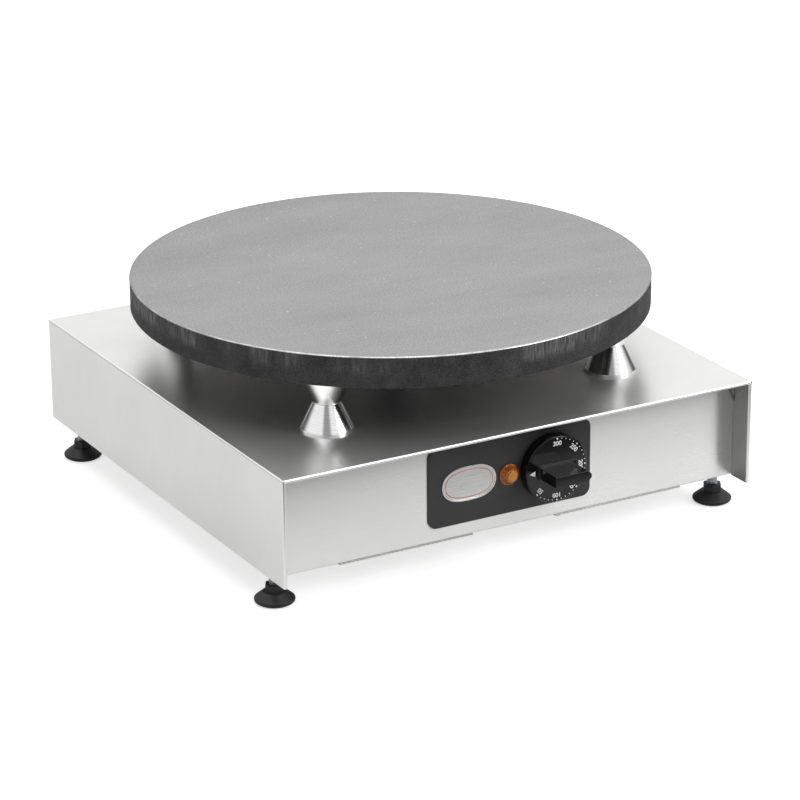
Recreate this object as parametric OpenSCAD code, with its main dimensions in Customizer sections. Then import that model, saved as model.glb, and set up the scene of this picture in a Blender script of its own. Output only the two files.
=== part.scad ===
// Electric crepe maker: a round cast griddle on four turned spacers over a folded steel base.
// Millimetres. X runs left to right, Y front to back, Z up.
// The origin is on the table, under the middle of the griddle.

/* [Base] */
// Width of the base
base_w = 400; // [380:1:480]
// Depth of the base, front to back
base_d = 400; // [380:1:480]
// Height of the cover's sides
base_h = 82.7; // [78:0.1:100]
// Gap between the table and the cover's sides
ground_gap = 24.5; // [22:0.5:32]
// Thickness of the folded sheet
sheet_t = 1.2; // [1:0.1:1.5]
// Outside radius of the folds
bend_r = 1.6; // [1.5:0.1:4]
// Air left inside a closed hem
hem_gap = 0.3; // [0.1:0.1:0.6]
// How far the front and rear panels are set back
recess = 21; // [16:0.5:28]
// Depth of the panels' bottom flanges
foot_flange_d = 30; // [26:1:40]
// Depth of the panels' top and side returns
return_d = 14; // [10:1:18]

/* [Bottom cover] */
// Width of each tab that the bottom cover is screwed down by
tab_w = 112; // [80:1:120]
// Free width between the two tabs of one side
tab_gap = 71; // [50:1:80]
// How far the bottom cover sits off centre
bottom_shift = 3.7; // [0:0.1:5]
// Number of vent slots in a row
vent_count = 9; // [5:1:11]
// Length of a vent slot
vent_l = 44; // [30:1:60]
// Width of a vent slot
vent_w = 4; // [3:0.5:6]

/* [Griddle] */
// Diameter of the griddle
plate_d = 400; // [360:1:480]
// Height of the griddle's rim
rim_h = 24; // [22:0.1:30]
// Width of the rim under the griddle
rim_w = 12; // [8:0.5:16]
// Thickness of the griddle above the heating elements
plate_t = 9.3; // [8:0.1:10.5]
// Chamfer round the cooking face
plate_chamfer = 0.9; // [0.5:0.1:2]

/* [Spacers] */
// Height of a spacer
spacer_h = 41.8; // [36:0.1:60]
// Diameter of a spacer's ends
spacer_d = 40; // [30:0.5:48]
// Diameter of a spacer's waist
waist_d = 20.5; // [16:0.5:28]
// Straight land at each end of a spacer
spacer_land = 1.5; // [0.5:0.1:3]
// Distance from the griddle's edge to a spacer's end
spacer_inset = 6.8; // [4:0.1:20]
// Diameter of the tie studs through the spacers
tie_d = 8; // [6:1:10]

/* [Heating] */
// Diameter of the tubular heating elements
element_d = 8.5; // [6:0.1:9]
// Radial distance between the two element rings
element_pitch = 60; // [50:1:66]
// Thickness of the insulation under the elements
blanket_t = 12; // [8:0.5:16]
// Diameter of the lead conduit
conduit_d = 40; // [34:1:50]
// Diameter of the thermostat bulb
bulb_d = 6; // [4:0.5:6]
// Length of the thermostat bulb
bulb_l = 70; // [50:1:76]

/* [Controls] */
// Distance from the base's top to the row of controls
control_drop = 41; // [39:0.5:44]
// Width of the control fascia
fascia_w = 139; // [125:1:160]
// Height of the control fascia
fascia_h = 61.6; // [56:0.1:67]
// Thickness of the fascia
fascia_t = 1.5; // [1:0.1:3]
// Corner radius of the fascia
fascia_r = 7; // [3:0.5:12]
// Sideways place of the fascia's middle
fascia_x = -1.3; // [-20:0.1:20]
// Place of the knob, right of the fascia's middle
knob_dx = 34.2; // [33:0.1:38]
// Place of the pilot lamp, left of the fascia's middle
lamp_dx = 1.5; // [0:0.5:3]
// Place of the badge, left of the fascia's middle
badge_dx = 35.5; // [34:0.5:40]
// Diameter of the knob
knob_d = 52.3; // [40:0.1:56]
// Depth of the knob's cup
knob_cup_h = 9.2; // [7:0.1:12]
// Length of the knob's grip
grip_l = 31; // [24:0.5:38]
// Thickness of the knob's grip
grip_t = 8.5; // [6:0.5:12]
// How far the grip stands out of the knob's face
grip_h = 23.5; // [14:0.5:24]
// Diameter of the thermostat's shaft
shaft_d = 6; // [5:0.5:8]

/* [Rear] */
// Sideways place of the cable gland
gland_x = -120; // [-140:1:-80]
// Thread diameter of the cable gland
gland_d = 20; // [16:1:25]
// Bore of the cable gland
gland_bore_d = 10.6; // [8:0.1:11]
// How far the gland stands out of the rear panel
gland_out = 32; // [24:1:36]

/* [Feet] */
// Distance from the base's side to the middle of a foot
foot_inset_x = 10; // [9:0.5:20]
// Distance from the base's front or back to the middle of a foot
foot_inset_y = 35; // [32:0.5:40]
// Diameter of a foot's pad
pad_d = 30; // [24:0.5:40]
// Diameter of the foot's stud
foot_stud_d = 8; // [6:1:8]
// Height of a foot's pad, up to the top of its collar
pad_h = 14.5; // [12:0.5:16]
// Spanner size of the foot's collar
collar_af = 13; // [12:0.5:16]

/* [Hidden] */
FOOT_SIDES = [[-1, -1], [1, -1], [-1, 1], [1, 1]];

$fn = 96;
EPS = 0.01;           // overlap that joins the parts of one solid
PAST = 1;             // how far a cutting shape runs past what it cuts
SLIP = 0.05;          // radial clearance of a screw, a thread or a shaft in its hole
SEAT = 0.3;           // clearance between folded pieces that slide together
SLEEVE_L = 0.8;       // length of the sleeve over a tube's joint

// Heights
side_z = ground_gap;                      // bottom of the cover's sides and of the panels
base_z = side_z + base_h;                 // top of the base
under_z = base_z - sheet_t;               // underside of the cover's top
plate_z = base_z + spacer_h;              // underside of the griddle's rim
plate_top = plate_z + rim_h;
ceiling_z = plate_top - plate_t;          // underside of the griddle inside its rim
control_z = base_z - control_drop;

// Folded sheet
hem_r = sheet_t + hem_gap / 2;            // outside radius of a hem's fold
leaf_in = 2 * sheet_t + hem_gap;          // depth from the outer face to a hem's inner face
panel_y = base_d / 2 - recess;            // outer faces of the front and rear panels
panel_w = base_w - 2 * sheet_t - 2 * SEAT;
panel_h = base_h - sheet_t - SEAT;
fascia_y = panel_y + fascia_t;            // distance of the fascia's face from the middle

// Griddle and what it carries
plate_r = plate_d / 2;
boss_r = spacer_d / 2 + 1;
spacer_reach = plate_r - spacer_inset - spacer_d / 2;
SPACER_ANGLES = [45 : 90 : 315];
PAN_GAP = 4;                              // air between the underpan and the spacers' bosses
pan_r = spacer_reach - boss_r - PAN_GAP;
PAN_T = 1;
PAN_FLANGE = 11;
pan_screw_r = pan_r + PAN_FLANGE / 2;
PAN_SCREW_D = 4;
PAN_BOSS_R = 5;
SCREW_IN = 7;                             // depth of a screw in its boss
HEAD_H = 2;                               // height of a small screw's head
HEAD_RATIO = 1.75;                        // diameter of a screw's head over its thread's
pan_flange_z = plate_z + HEAD_H + PAN_T;  // top of the underpan's flange
GROOVE = 2;                               // depth that the elements sink in their grooves
GROOVE_GAP = 0.3;                         // air round an element in its groove
element_z = ceiling_z + GROOVE - element_d / 2;
element_low_z = element_z - element_d / 2;
ELEMENT_MARGIN = 13;                      // from the underpan's wall to the outer ring
outer_ring_r = pan_r - ELEMENT_MARGIN;
inner_ring_r = outer_ring_r - element_pitch;
LEAD_BEND = 12;                           // bend radius of the elements' ends
LEAD_X = [12, 24];                        // sideways place of the outer and the inner ring's ends
LEAD_REACH = 34;                          // from the middle to where the heated tubes end, at most
LEAD_STRAIGHT = 4;                        // straight length of the inner ring's ends, at least
lead_y = -min(LEAD_REACH, bend_back(inner_ring_r, LEAD_X[1]) - LEAD_STRAIGHT);
BEAD_L = 9;                               // length of the ceramic bead on a tube's end
PIN_L = 8;                                // length of the cold pin past the bead
PIN_D = 2.6;
BAR_T = 2;
BAR_W = 16;
CLAMP_ANGLES = [90, 210, 330];
CLAMP_SCREW_D = 5;
CLAMP_BOSS_R = 6.5;
clamp_r = (outer_ring_r + inner_ring_r) / 2;
bar_top_z = element_low_z - SLIP;
bar_low_z = bar_top_z - BAR_T;
blanket_top_z = bar_low_z - HEAD_H - SEAT;
pan_floor_z = blanket_top_z - blanket_t;  // inner face of the underpan's floor
pan_low_z = pan_floor_z - PAN_T;
LEAD_HOLE_D = 84;                         // hole in the insulation for the elements' ends
CONDUIT_T = 1;
CONDUIT_FLANGE = 8;

// Tie studs
TIE_IN = 12;                              // length of thread in the griddle
RAIL_T = 2;
RAIL_W = 36;
RAIL_H = 22;
RAIL_INNER_R = 0.6;
WASHER_T = 1.6;
TIE_NUT_H = 6.5;
TIE_PAST_NUT = 2;                         // length of stud that shows past its nut
rail_low_z = under_z - RAIL_T;
tie_x = spacer_reach * cos(45);
rail_l = 2 * (panel_y - sheet_t - return_d - SEAT);

// Bulb and capillary
BULB_ANGLE = 30;
CAPILLARY_D = 2;
bulb_reach = clamp_r;
bulb_z = ceiling_z - bulb_d / 2;
CAPILLARY_BEND = 6;
CAPILLARY_OUT = 10;                       // its straight length at the bulb
CAPILLARY_HOLE = [8, -6];                 // where it drops through the conduit
CAPILLARY_DROP = 18;                      // how far it drops to the thermostat from its high run
CAPILLARY_TAIL = 26;                      // its straight end behind the thermostat
CAPILLARY_DIP = 5;                        // how far its high run lies under the bulb, at least
capillary_z = min(element_low_z - CAPILLARY_D / 2 - 0.6, bulb_z - CAPILLARY_DIP);

// Feet
foot_x = base_w / 2 - foot_inset_x;
foot_y = base_d / 2 - foot_inset_y;
INSERT_D = 11;
INSERT_HEAD_D = 14;
INSERT_HEAD_T = 0.8;
INSERT_BULGE_T = 1.6;                     // the part of an insert that clinches the flange
INSERT_H = 13.5;
STUD_TOP = 13.5;                          // height of a stud's end above the flange
STUD_SEAT = 3;                            // height of a stud's lower end above the table
SNAP_Z = 6;                               // height of the groove that the pad snaps into
SNAP_H = 2;
SNAP_DEPTH = 0.8;

// Controls
knob_x = fascia_x + knob_dx;
lamp_x = fascia_x - lamp_dx;
badge_x = fascia_x - badge_dx;
KNOB_GAP = 0.8;                           // air between the knob and the fascia
KNOB_WALL = 2;
GRIP_FOOT_H = 2;                          // height of the ledge round the grip's foot
knob_back = fascia_y + KNOB_GAP;
knob_face = knob_back + knob_cup_h;
SHAFT_IN_KNOB = 14;                       // length of shaft that the knob holds
SHAFT_FLAT = 1.4;                         // depth of the flat on the shaft
BUSH_D = 9.4;
BUSH_HOLE_D = 10;
THERMO_W = 44;
THERMO_H = 34;
THERMO_D = 24;
TAB_T = 0.8;                              // blades for push-on connectors
TAB_W = 6.3;
TAB_L = 9;
TAB_PITCH = 7;
SHAFT_IN = 14;                            // length of shaft inside the thermostat
THERMO_PITCH = 28;                        // between the thermostat's two screws
THERMO_SCREW_D = 4;
PORT_X = 8;                               // capillary's port, right of the shaft
BRACKET_T = 1.5;
BRACKET_H = 16;
thermo_front = panel_y - sheet_t;         // rear face of the front panel
thermo_y = thermo_front - BRACKET_T;      // front face of the thermostat's body
LAMP_HOLE_D = 10;
LAMP_FLANGE_D = 16.5;
LAMP_FLANGE_T = 1.2;
LAMP_CAP_D = 15.4;                        // across the feet of the lens's prisms
LAMP_CAP_IN = 5;                          // how much narrower the prisms' front is
LAMP_CAP_H = 3.8;
LAMP_SIDES = 8;
LAMP_TIP_D = 8;
LAMP_TIP_H = 1;
LAMP_BODY_L = 24;
LAMP_CLIP_T = 1;
BADGE_W = 46;
BADGE_H = 27;
BADGE_R = 13.4;
BADGE_T = 0.8;

// Bottom cover
BOTTOM_SCREW_D = 4;
BOTTOM_SCREW_L = 9;
bottom_low_z = side_z - sheet_t;
BOTTOM_EDGE = 5;                          // from the base's side to the bottom cover's edge
bottom_w = base_w - 2 * BOTTOM_EDGE;
bottom_main_d = 2 * (panel_y - foot_flange_d) + 2 * SEAT;
tab_x = tab_gap / 2 + tab_w / 2;
tab_screw_y = panel_y - foot_flange_d * 0.63;
EXTRA_SCREW_IN = 4.4;                     // the extra front screw, from its tab's two edges
TAB_SHORT = 0.5;                          // from the front panel's face to a tab's edge
VENT_PITCH = 14;
VENT_ROW_Y = 90;

// Inside the base
LIMITER_X = 62;
LIMITER_Y = 60;
LIMITER_W = 36;
LIMITER_D = 30;
LIMITER_H = 24;
LIMITER_BUSH_D = 10;
LIMITER_BUSH_H = 6;
LIMITER_NUT_AF = 14;
LIMITER_NUT_H = 3;
RESET_D = 4.4;
RESET_OUT = 3;                            // how far the button stands out of its bush
RESET_IN = 4;                             // its length inside the limiter's body
BLOCK_W = 52;
BLOCK_D = 26;
BLOCK_H = 24;
BLOCK_POLES = 3;
BLOCK_PITCH = 15;
BLOCK_NOTCH = 2;                          // width of the notches between the poles
BLOCK_SCREW_Y = 7;                        // from a pole's middle to its screws
WIRE_D = 5;                               // bore of a pole
WIRE_Z = 9;                               // height of a pole's bore above the base
BLOCK_IN = 90;                            // from the rear panel to the terminal block
block_y = panel_y - BLOCK_IN;
EARTH_D = 6;
EARTH_X = -58;
EARTH_AF = 10;
EARTH_NUT_H = 5;
GLAND_HEX_H = 6;
GLAND_THREAD_IN = 12;                     // length of thread inside the rear panel
GLAND_THREAD_OUT = 9;                     // length of thread inside the cap
GLAND_GRIP_H = 11;                        // height of the cap's hexagonal part
GLAND_LIP = 4;                            // length of the cap's narrow end
GLAND_NUT_H = 4.5;
GLAND_WALL = 2.4;
GLAND_HEX_MORE = 4;                       // gland's spanner size less its thread
gland_z = side_z + base_h / 2;
gland_cap_h = gland_out - GLAND_HEX_H - SEAT;
gland_seal_d = gland_bore_d + GLAND_WALL + 2;

// Colours
STEEL = "#d2d2d0";
DARK_STEEL = "#8c8c8a";
ZINC = "#c0c2c4";
CAST = "#6a6a68";
ALUMINIUM = "#e0e0e0";
BLACK = "#2b2b2b";
BRASS = "#b8974e";
CERAMIC = "#e6dfcf";
AMBER = "#e88a1c";
COPPER = "#b26a3c";
RUBBER = "#202020";

// ---- shared shapes ----

// A hole of diameter d through a plate of thickness t that stands on z = 0
module drill(t, d) {
    translate([0, 0, -PAST]) cylinder(h = t + 2 * PAST, d = d);
}

// A rectangle standing on the X axis, with its two top corners rounded
module round_topped(w, h, r) {
    translate([-w / 2, 0]) square([w, h - r]);
    translate([-w / 2 + r, 0]) square([w - 2 * r, h]);
    for (side = [-1, 1]) translate([side * (w / 2 - r), h - r]) circle(r = r);
}

// A rectangle round the origin, with four round corners
module round_rect(w, h, r) {
    square([w - 2 * r, h], center = true);
    square([w, h - 2 * r], center = true);
    for (x = [-1, 1], z = [-1, 1]) translate([x * (w / 2 - r), z * (h / 2 - r)]) circle(r = r);
}

// The section of the cover: a sheet bent down at both sides
module cover_section() {
    difference() {
        round_topped(base_w, base_h, bend_r);
        translate([0, -1]) round_topped(base_w - 2 * sheet_t, base_h - sheet_t + 1, bend_r - sheet_t);
    }
}

// Draws a section of X and Z as a bar along Y, centred on the XZ plane
module along_y(length) {
    rotate([90, 0, 0]) linear_extrude(height = length, center = true) children();
}

// Stands a section of X and Z up so that it grows towards the front from the plane y = -at
module to_front(at, length) {
    translate([0, -at, 0]) rotate([90, 0, 0]) linear_extrude(height = length) children();
}

// A cylinder that runs towards the front from the plane y = -at
module front_rod(at, length, d) {
    translate([0, -at, 0]) rotate([90, 0, 0]) cylinder(h = length, d = d);
}

// A hexagonal prism of spanner size af
module hex_bar(af, h) {
    cylinder(h = h, d = af / cos(30), $fn = 6);
}

// Half of a folded edge: a ring segment that faces -X in its own plane
module fold_arc() {
    difference() {
        circle(r = hem_r);
        circle(r = hem_r - sheet_t);
        translate([0, -hem_r - 1]) square([hem_r + 1, 2 * hem_r + 2]);
    }
}

// A small pan-head screw that points up, its head's underside at z = 0
module pan_screw(d, head_d, head_h, length) {
    difference() {
        union() {
            translate([0, 0, -head_h]) rotate_extrude() intersection() {
                square([head_d / 2, head_h]);
                translate([0, head_h + head_d * 0.2]) circle(r = head_h + head_d * 0.2);
            }
            translate([0, 0, -EPS]) cylinder(h = length + EPS, d = d);
        }
        for (turn = [0, 90]) rotate([0, 0, turn])
            translate([-head_d * 0.27, -head_d * 0.055, -head_h - EPS])
                cube([head_d * 0.54, head_d * 0.11, head_h * 0.6]);
    }
}

// A straight tube run between two points
module run(from, to, d) {
    way = to - from;
    translate(from) rotate([0, acos(way.z / norm(way)), atan2(way.y, way.x)])
        cylinder(h = norm(way), d = d);
}

// A thin sleeve over the joint of two stretches of tube
module sleeve(at, way, d) {
    run(at - way * SLEEVE_L / 2, at + way * SLEEVE_L / 2, d + 2 * SLIP);
}

// A bend of radius r round a corner, between the directions in and out
module elbow(corner, in, out, r, d) {
    turn = acos(in * out);
    axis = cross(in, out) / norm(cross(in, out));
    back = cross(in, axis);
    start = corner - in * r * tan(turn / 2);
    centre = start - back * r;
    multmatrix([
        [back.x, in.x, axis.x, centre.x],
        [back.y, in.y, axis.y, centre.y],
        [back.z, in.z, axis.z, centre.z],
        [0, 0, 0, 1]])
        rotate_extrude(angle = turn) translate([r, 0]) circle(d = d);
}

// A tube along a list of points, bent with radius r at each inner point
module bent_tube(points, r, d) {
    last = len(points) - 1;
    ways = [for (i = [0 : last - 1]) (points[i + 1] - points[i]) / norm(points[i + 1] - points[i])];
    cuts = [for (i = [0 : last]) i == 0 || i == last ? 0 : r * tan(acos(ways[i - 1] * ways[i]) / 2)];
    for (i = [0 : last - 1])
        run(points[i] + ways[i] * cuts[i], points[i + 1] - ways[i] * cuts[i + 1], d);
    for (i = [1 : last - 1]) {
        elbow(points[i], ways[i - 1], ways[i], r, d);
        sleeve(points[i] - ways[i - 1] * cuts[i], ways[i - 1], d);
        sleeve(points[i] + ways[i] * cuts[i], ways[i], d);
    }
}

// ---- base ----

// The inner leaf of a side hem, cut at 45 degrees under the top
module side_leaf() {
    near = base_d / 2 - hem_r;
    far = panel_y + SEAT;
    translate([base_w / 2 - leaf_in, 0, 0]) rotate([90, 0, 90]) linear_extrude(height = sheet_t)
        polygon([[-near, side_z], [-far, side_z], [-far, base_z - leaf_in - (near - far)],
                 [-near, base_z - leaf_in]]);
}

// The inner leaf of the top hem, cut at 45 degrees at both ends
module top_leaf() {
    near = base_d / 2 - hem_r;
    far = panel_y + SEAT;
    half = base_w / 2 - leaf_in;
    translate([0, 0, base_z - leaf_in]) linear_extrude(height = sheet_t)
        polygon([[-half, -near], [half, -near], [half - (near - far), -far],
                 [-half + (near - far), -far]]);
}

// The folds and inner leaves of the cover's front edge
module front_hem() {
    edge = base_d / 2 - hem_r;
    for (side = [0, 1]) mirror([side, 0, 0]) {
        translate([base_w / 2 - hem_r, -edge, side_z]) rotate([0, 0, 90])
            linear_extrude(height = base_h - bend_r) fold_arc();
        side_leaf();
    }
    translate([base_w / 2 - bend_r, -edge, base_z - hem_r]) rotate([0, -90, 0]) rotate([0, 0, 90])
        linear_extrude(height = base_w - 2 * bend_r) fold_arc();
    top_leaf();
}

// The short raw edges of the sheet at the cover's two top corners
module corner_edges() {
    difference() {
        translate([0, 0, side_z]) along_y(base_d) cover_section();
        translate([-base_w / 2 - 1, -base_d / 2 - 1, side_z - 1])
            cube([base_w + 2, base_d + 2, base_h - bend_r + 1]);
        translate([-base_w / 2 + bend_r, -base_d / 2 - 1, side_z])
            cube([base_w - 2 * bend_r, base_d + 2, base_h + 1]);
    }
}

module base_cover() {
    color(STEEL) difference() {
        union() {
            translate([0, 0, side_z]) along_y(base_d - 2 * hem_r) cover_section();
            corner_edges();
            for (end = [0, 1]) mirror([0, end, 0]) front_hem();
        }
        translate([0, 0, under_z]) {
            at_spacers() drill(sheet_t, tie_d + 2 * SEAT);
            drill(sheet_t, conduit_d - 2 * CONDUIT_T);
        }
    }
}

// The section of a panel, in Y and Z: a face with a top return and a bottom flange
module panel_section() {
    translate([0, bend_r]) square([sheet_t, panel_h - 2 * bend_r]);
    for (top = [0, 1]) translate([bend_r, top ? panel_h - bend_r : bend_r]) difference() {
        circle(r = bend_r);
        circle(r = bend_r - sheet_t);
        translate([0, -bend_r - 1]) square([bend_r + 1, 2 * bend_r + 2]);
        translate([-bend_r - 1, top ? -bend_r - 1 : 0]) square([2 * bend_r + 2, bend_r + 1]);
    }
    translate([bend_r, 0]) square([foot_flange_d - bend_r, sheet_t]);
    translate([bend_r, panel_h - sheet_t]) square([return_d - bend_r, sheet_t]);
}

// A front panel without its holes: face, returns and foot flange, set between the cover's sides
module folded_panel() {
    relief = bend_r + SEAT;
    foot_relief = INSERT_H + SEAT;
    difference() {
        translate([-panel_w / 2, -panel_y, side_z]) rotate([90, 0, 90])
            linear_extrude(height = panel_w) panel_section();
        for (side = [-1, 1])
            translate([side * panel_w / 2 - relief, -panel_y + sheet_t, side_z + panel_h - relief])
                cube([2 * relief, return_d, 2 * relief]);
    }
    for (side = [-1, 1])
        translate([side * (panel_w - sheet_t) / 2 - sheet_t / 2, -panel_y + EPS, side_z + foot_relief])
            cube([sheet_t, return_d, panel_h - foot_relief - relief]);
}

// The holes for the foot inserts in a front panel's bottom flange
module flange_holes() {
    for (side = [-1, 1]) translate([side * foot_x, -foot_y, side_z]) drill(sheet_t, INSERT_D);
}

// Places its children at each screw of the bottom cover
module at_bottom_screws() {
    for (side = [-1, 1], end = [-1, 1])
        translate([bottom_shift + side * tab_x, end * tab_screw_y, 0]) children();
    translate([bottom_shift + tab_gap / 2 + EXTRA_SCREW_IN, -panel_y + EXTRA_SCREW_IN, 0]) children();
}

// Places its children at the thermostat's two screws
module at_thermo_screws() {
    for (side = [-1, 1])
        translate([knob_x + side * THERMO_PITCH / 2, 0, control_z]) children();
}

// The holes for the controls, through both the front panel and the fascia
module control_holes() {
    back = thermo_front - PAST;
    length = fascia_y + PAST - back;
    translate([knob_x, 0, control_z]) front_rod(back, length, BUSH_HOLE_D);
    translate([lamp_x, 0, control_z]) front_rod(back, length, LAMP_HOLE_D);
    at_thermo_screws() front_rod(back, length, THERMO_SCREW_D + 2 * SLIP);
}

module front_panel() {
    color(STEEL) difference() {
        folded_panel();
        flange_holes();
        translate([0, 0, side_z]) at_bottom_screws() drill(sheet_t, BOTTOM_SCREW_D + 2 * SLIP);
        control_holes();
    }
}

module rear_panel() {
    color(STEEL) difference() {
        mirror([0, 1, 0]) folded_panel();
        mirror([0, 1, 0]) flange_holes();
        translate([0, 0, side_z]) at_bottom_screws() drill(sheet_t, BOTTOM_SCREW_D + 2 * SLIP);
        on_gland() translate([0, 0, -sheet_t]) drill(sheet_t, gland_d + 2 * SLIP);
    }
}

// One row of vent slots along X
module vent_row() {
    for (i = [0 : vent_count - 1])
        translate([(i - (vent_count - 1) / 2) * VENT_PITCH, 0, 0])
            linear_extrude(height = sheet_t + 2 * PAST) round_rect(vent_w, vent_l, vent_w / 2 - EPS);
}

module bottom_cover() {
    color(STEEL) difference() {
        union() {
            translate([-bottom_w / 2, -bottom_main_d / 2, bottom_low_z])
                cube([bottom_w, bottom_main_d, sheet_t]);
            for (side = [-1, 1])
                translate([bottom_shift + side * tab_x - tab_w / 2, TAB_SHORT - panel_y, bottom_low_z])
                    cube([tab_w, 2 * (panel_y - TAB_SHORT), sheet_t]);
        }
        translate([0, 0, bottom_low_z]) at_bottom_screws() drill(sheet_t, BOTTOM_SCREW_D + 2 * SLIP);
        for (end = [-1, 1]) translate([0, end * VENT_ROW_Y, bottom_low_z - PAST]) vent_row();
        translate([LIMITER_X, LIMITER_Y, bottom_low_z]) drill(sheet_t, LIMITER_BUSH_D + 2 * SLIP);
    }
}

module bottom_screws() {
    color(ZINC) at_bottom_screws() translate([0, 0, bottom_low_z])
        pan_screw(BOTTOM_SCREW_D, BOTTOM_SCREW_D * HEAD_RATIO, HEAD_H, BOTTOM_SCREW_L);
}

// Two channels under the cover's top that carry the griddle's weight
module support_rails() {
    color(DARK_STEEL) for (side = [-1, 1]) translate([side * tie_x, 0, under_z - RAIL_H])
        difference() {
            along_y(rail_l) round_topped(RAIL_W, RAIL_H, bend_r);
            translate([0, 0, -EPS]) along_y(rail_l + 2 * PAST)
                round_topped(RAIL_W - 2 * RAIL_T, RAIL_H - RAIL_T + EPS, RAIL_INNER_R);
            for (end = [-1, 1]) translate([0, end * tie_x, 0]) drill(RAIL_H, tie_d + 2 * SEAT);
        }
}

// ---- feet ----

module foot_inserts() {
    color(ZINC) for (side = FOOT_SIDES) translate([side.x * foot_x, side.y * foot_y, side_z])
        difference() {
            union() {
                translate([0, 0, -INSERT_HEAD_T]) cylinder(h = INSERT_HEAD_T, d = INSERT_HEAD_D);
                translate([0, 0, -EPS]) cylinder(h = sheet_t + EPS, d = INSERT_D - 2 * SLIP);
                translate([0, 0, sheet_t]) cylinder(h = INSERT_BULGE_T, d = INSERT_HEAD_D);
                translate([0, 0, sheet_t]) cylinder(h = INSERT_H - sheet_t, d = INSERT_D);
            }
            translate([0, 0, -INSERT_HEAD_T])
                drill(INSERT_H + INSERT_HEAD_T, foot_stud_d + 2 * SLIP);
        }
}

// A stud with the groove near its lower end that holds the pad
module foot_stud(side) {
    r = foot_stud_d / 2;
    cut = 0.7;
    top = side_z + STUD_TOP;
    color(ZINC) translate([side.x * foot_x, side.y * foot_y, 0]) rotate_extrude() polygon([
        [0, STUD_SEAT], [r - cut, STUD_SEAT], [r, STUD_SEAT + cut], [r, SNAP_Z],
        [r - SNAP_DEPTH, SNAP_Z], [r - SNAP_DEPTH, SNAP_Z + SNAP_H], [r, SNAP_Z + SNAP_H],
        [r, top - cut], [r - cut, top], [0, top]]);
}

// A pad: a wide foot, a cone and a hexagonal collar, snapped on the stud's end
module foot_pad(side) {
    r = foot_stud_d / 2 + SLIP;
    band_h = 2.6;
    cone_top = pad_h * 0.62;
    cone_r = pad_d * 0.283;
    color(BLACK) translate([side.x * foot_x, side.y * foot_y, 0]) difference() {
        union() {
            rotate_extrude() polygon([
                [0, 0], [pad_d / 2 - 2.4, 0], [pad_d / 2 - 0.6, 1.1], [pad_d / 2, 2], [pad_d / 2, band_h + 1],
                [pad_d / 2 - 0.7, band_h + 1.6], [cone_r, cone_top], [0, cone_top]]);
            translate([0, 0, cone_top - EPS]) hex_bar(collar_af, pad_h - cone_top + EPS);
        }
        difference() {
            translate([0, 0, STUD_SEAT - SLIP]) cylinder(h = pad_h, r = r);
            translate([0, 0, SNAP_Z + SLIP]) difference() {
                cylinder(h = SNAP_H - 2 * SLIP, r = r + 1);
                translate([0, 0, -1]) cylinder(h = SNAP_H + 2, r = r - SNAP_DEPTH);
            }
        }
    }
}

module foot_stud_front_left() foot_stud(FOOT_SIDES[0]);
module foot_stud_front_right() foot_stud(FOOT_SIDES[1]);
module foot_stud_rear_left() foot_stud(FOOT_SIDES[2]);
module foot_stud_rear_right() foot_stud(FOOT_SIDES[3]);
module foot_pad_front_left() foot_pad(FOOT_SIDES[0]);
module foot_pad_front_right() foot_pad(FOOT_SIDES[1]);
module foot_pad_rear_left() foot_pad(FOOT_SIDES[2]);
module foot_pad_rear_right() foot_pad(FOOT_SIDES[3]);

// ---- griddle ----

// Places its children at each spacer
module at_spacers() {
    for (a = SPACER_ANGLES) rotate([0, 0, a]) translate([spacer_reach, 0, 0]) children();
}

// Places its children at each screw of the underpan
module at_pan_screws() {
    for (a = [0 : 90 : 270]) rotate([0, 0, a]) translate([pan_screw_r, 0, 0]) children();
}

// Places its children at each clamp's screw, with X outwards
module at_clamps() {
    for (a = CLAMP_ANGLES) rotate([0, 0, a]) translate([clamp_r, 0, 0]) children();
}

// A boss under the griddle, wider by draft at its root
module boss(z, r, draft) {
    translate([0, 0, z]) cylinder(h = ceiling_z - z + PAST, r1 = r, r2 = r + draft);
}

module griddle_plate() {
    draft = 1.5;
    low_cut = 0.8;
    inner = plate_r - rim_w;
    color(CAST) difference() {
        union() {
            rotate_extrude($fn = 192) polygon([
                [0, ceiling_z], [inner - draft, ceiling_z], [inner, plate_z],
                [plate_r - low_cut, plate_z], [plate_r, plate_z + low_cut],
                [plate_r, plate_top - plate_chamfer],
                [plate_r - plate_chamfer, plate_top], [0, plate_top]]);
            at_spacers() boss(plate_z, boss_r, 0);
            at_pan_screws() boss(pan_flange_z, PAN_BOSS_R, draft);
            at_clamps() boss(bar_top_z, CLAMP_BOSS_R, draft);
        }
        heating_rings(element_d + 2 * GROOVE_GAP, lead_y + BEAD_L + PIN_L + PAST);
        at_spacers() translate([0, 0, plate_z - PAST])
            cylinder(h = TIE_IN + PAST, d = tie_d + 2 * SLIP);
        at_pan_screws() translate([0, 0, pan_flange_z - PAST])
            cylinder(h = SCREW_IN + 2 * PAST, d = PAN_SCREW_D + 2 * SLIP);
        at_clamps() translate([0, 0, bar_top_z - PAST])
            cylinder(h = SCREW_IN + 2 * PAST, d = CLAMP_SCREW_D + 2 * SLIP);
    }
}

module spacers() {
    middle = spacer_h / 2;
    r = spacer_d / 2;
    cut = 0.3;
    color(ALUMINIUM) at_spacers() translate([0, 0, base_z]) rotate_extrude() polygon([
        [tie_d / 2 + SEAT, 0], [r - cut, 0], [r, cut], [r, spacer_land], [waist_d / 2, middle],
        [r, spacer_h - spacer_land], [r, spacer_h - cut], [r - cut, spacer_h],
        [tie_d / 2 + SEAT, spacer_h]]);
}

module tie_studs() {
    low = rail_low_z - WASHER_T - TIE_NUT_H - TIE_PAST_NUT;
    color(ZINC) at_spacers() translate([0, 0, low]) cylinder(h = plate_z + TIE_IN - SEAT - low, d = tie_d);
}

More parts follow.
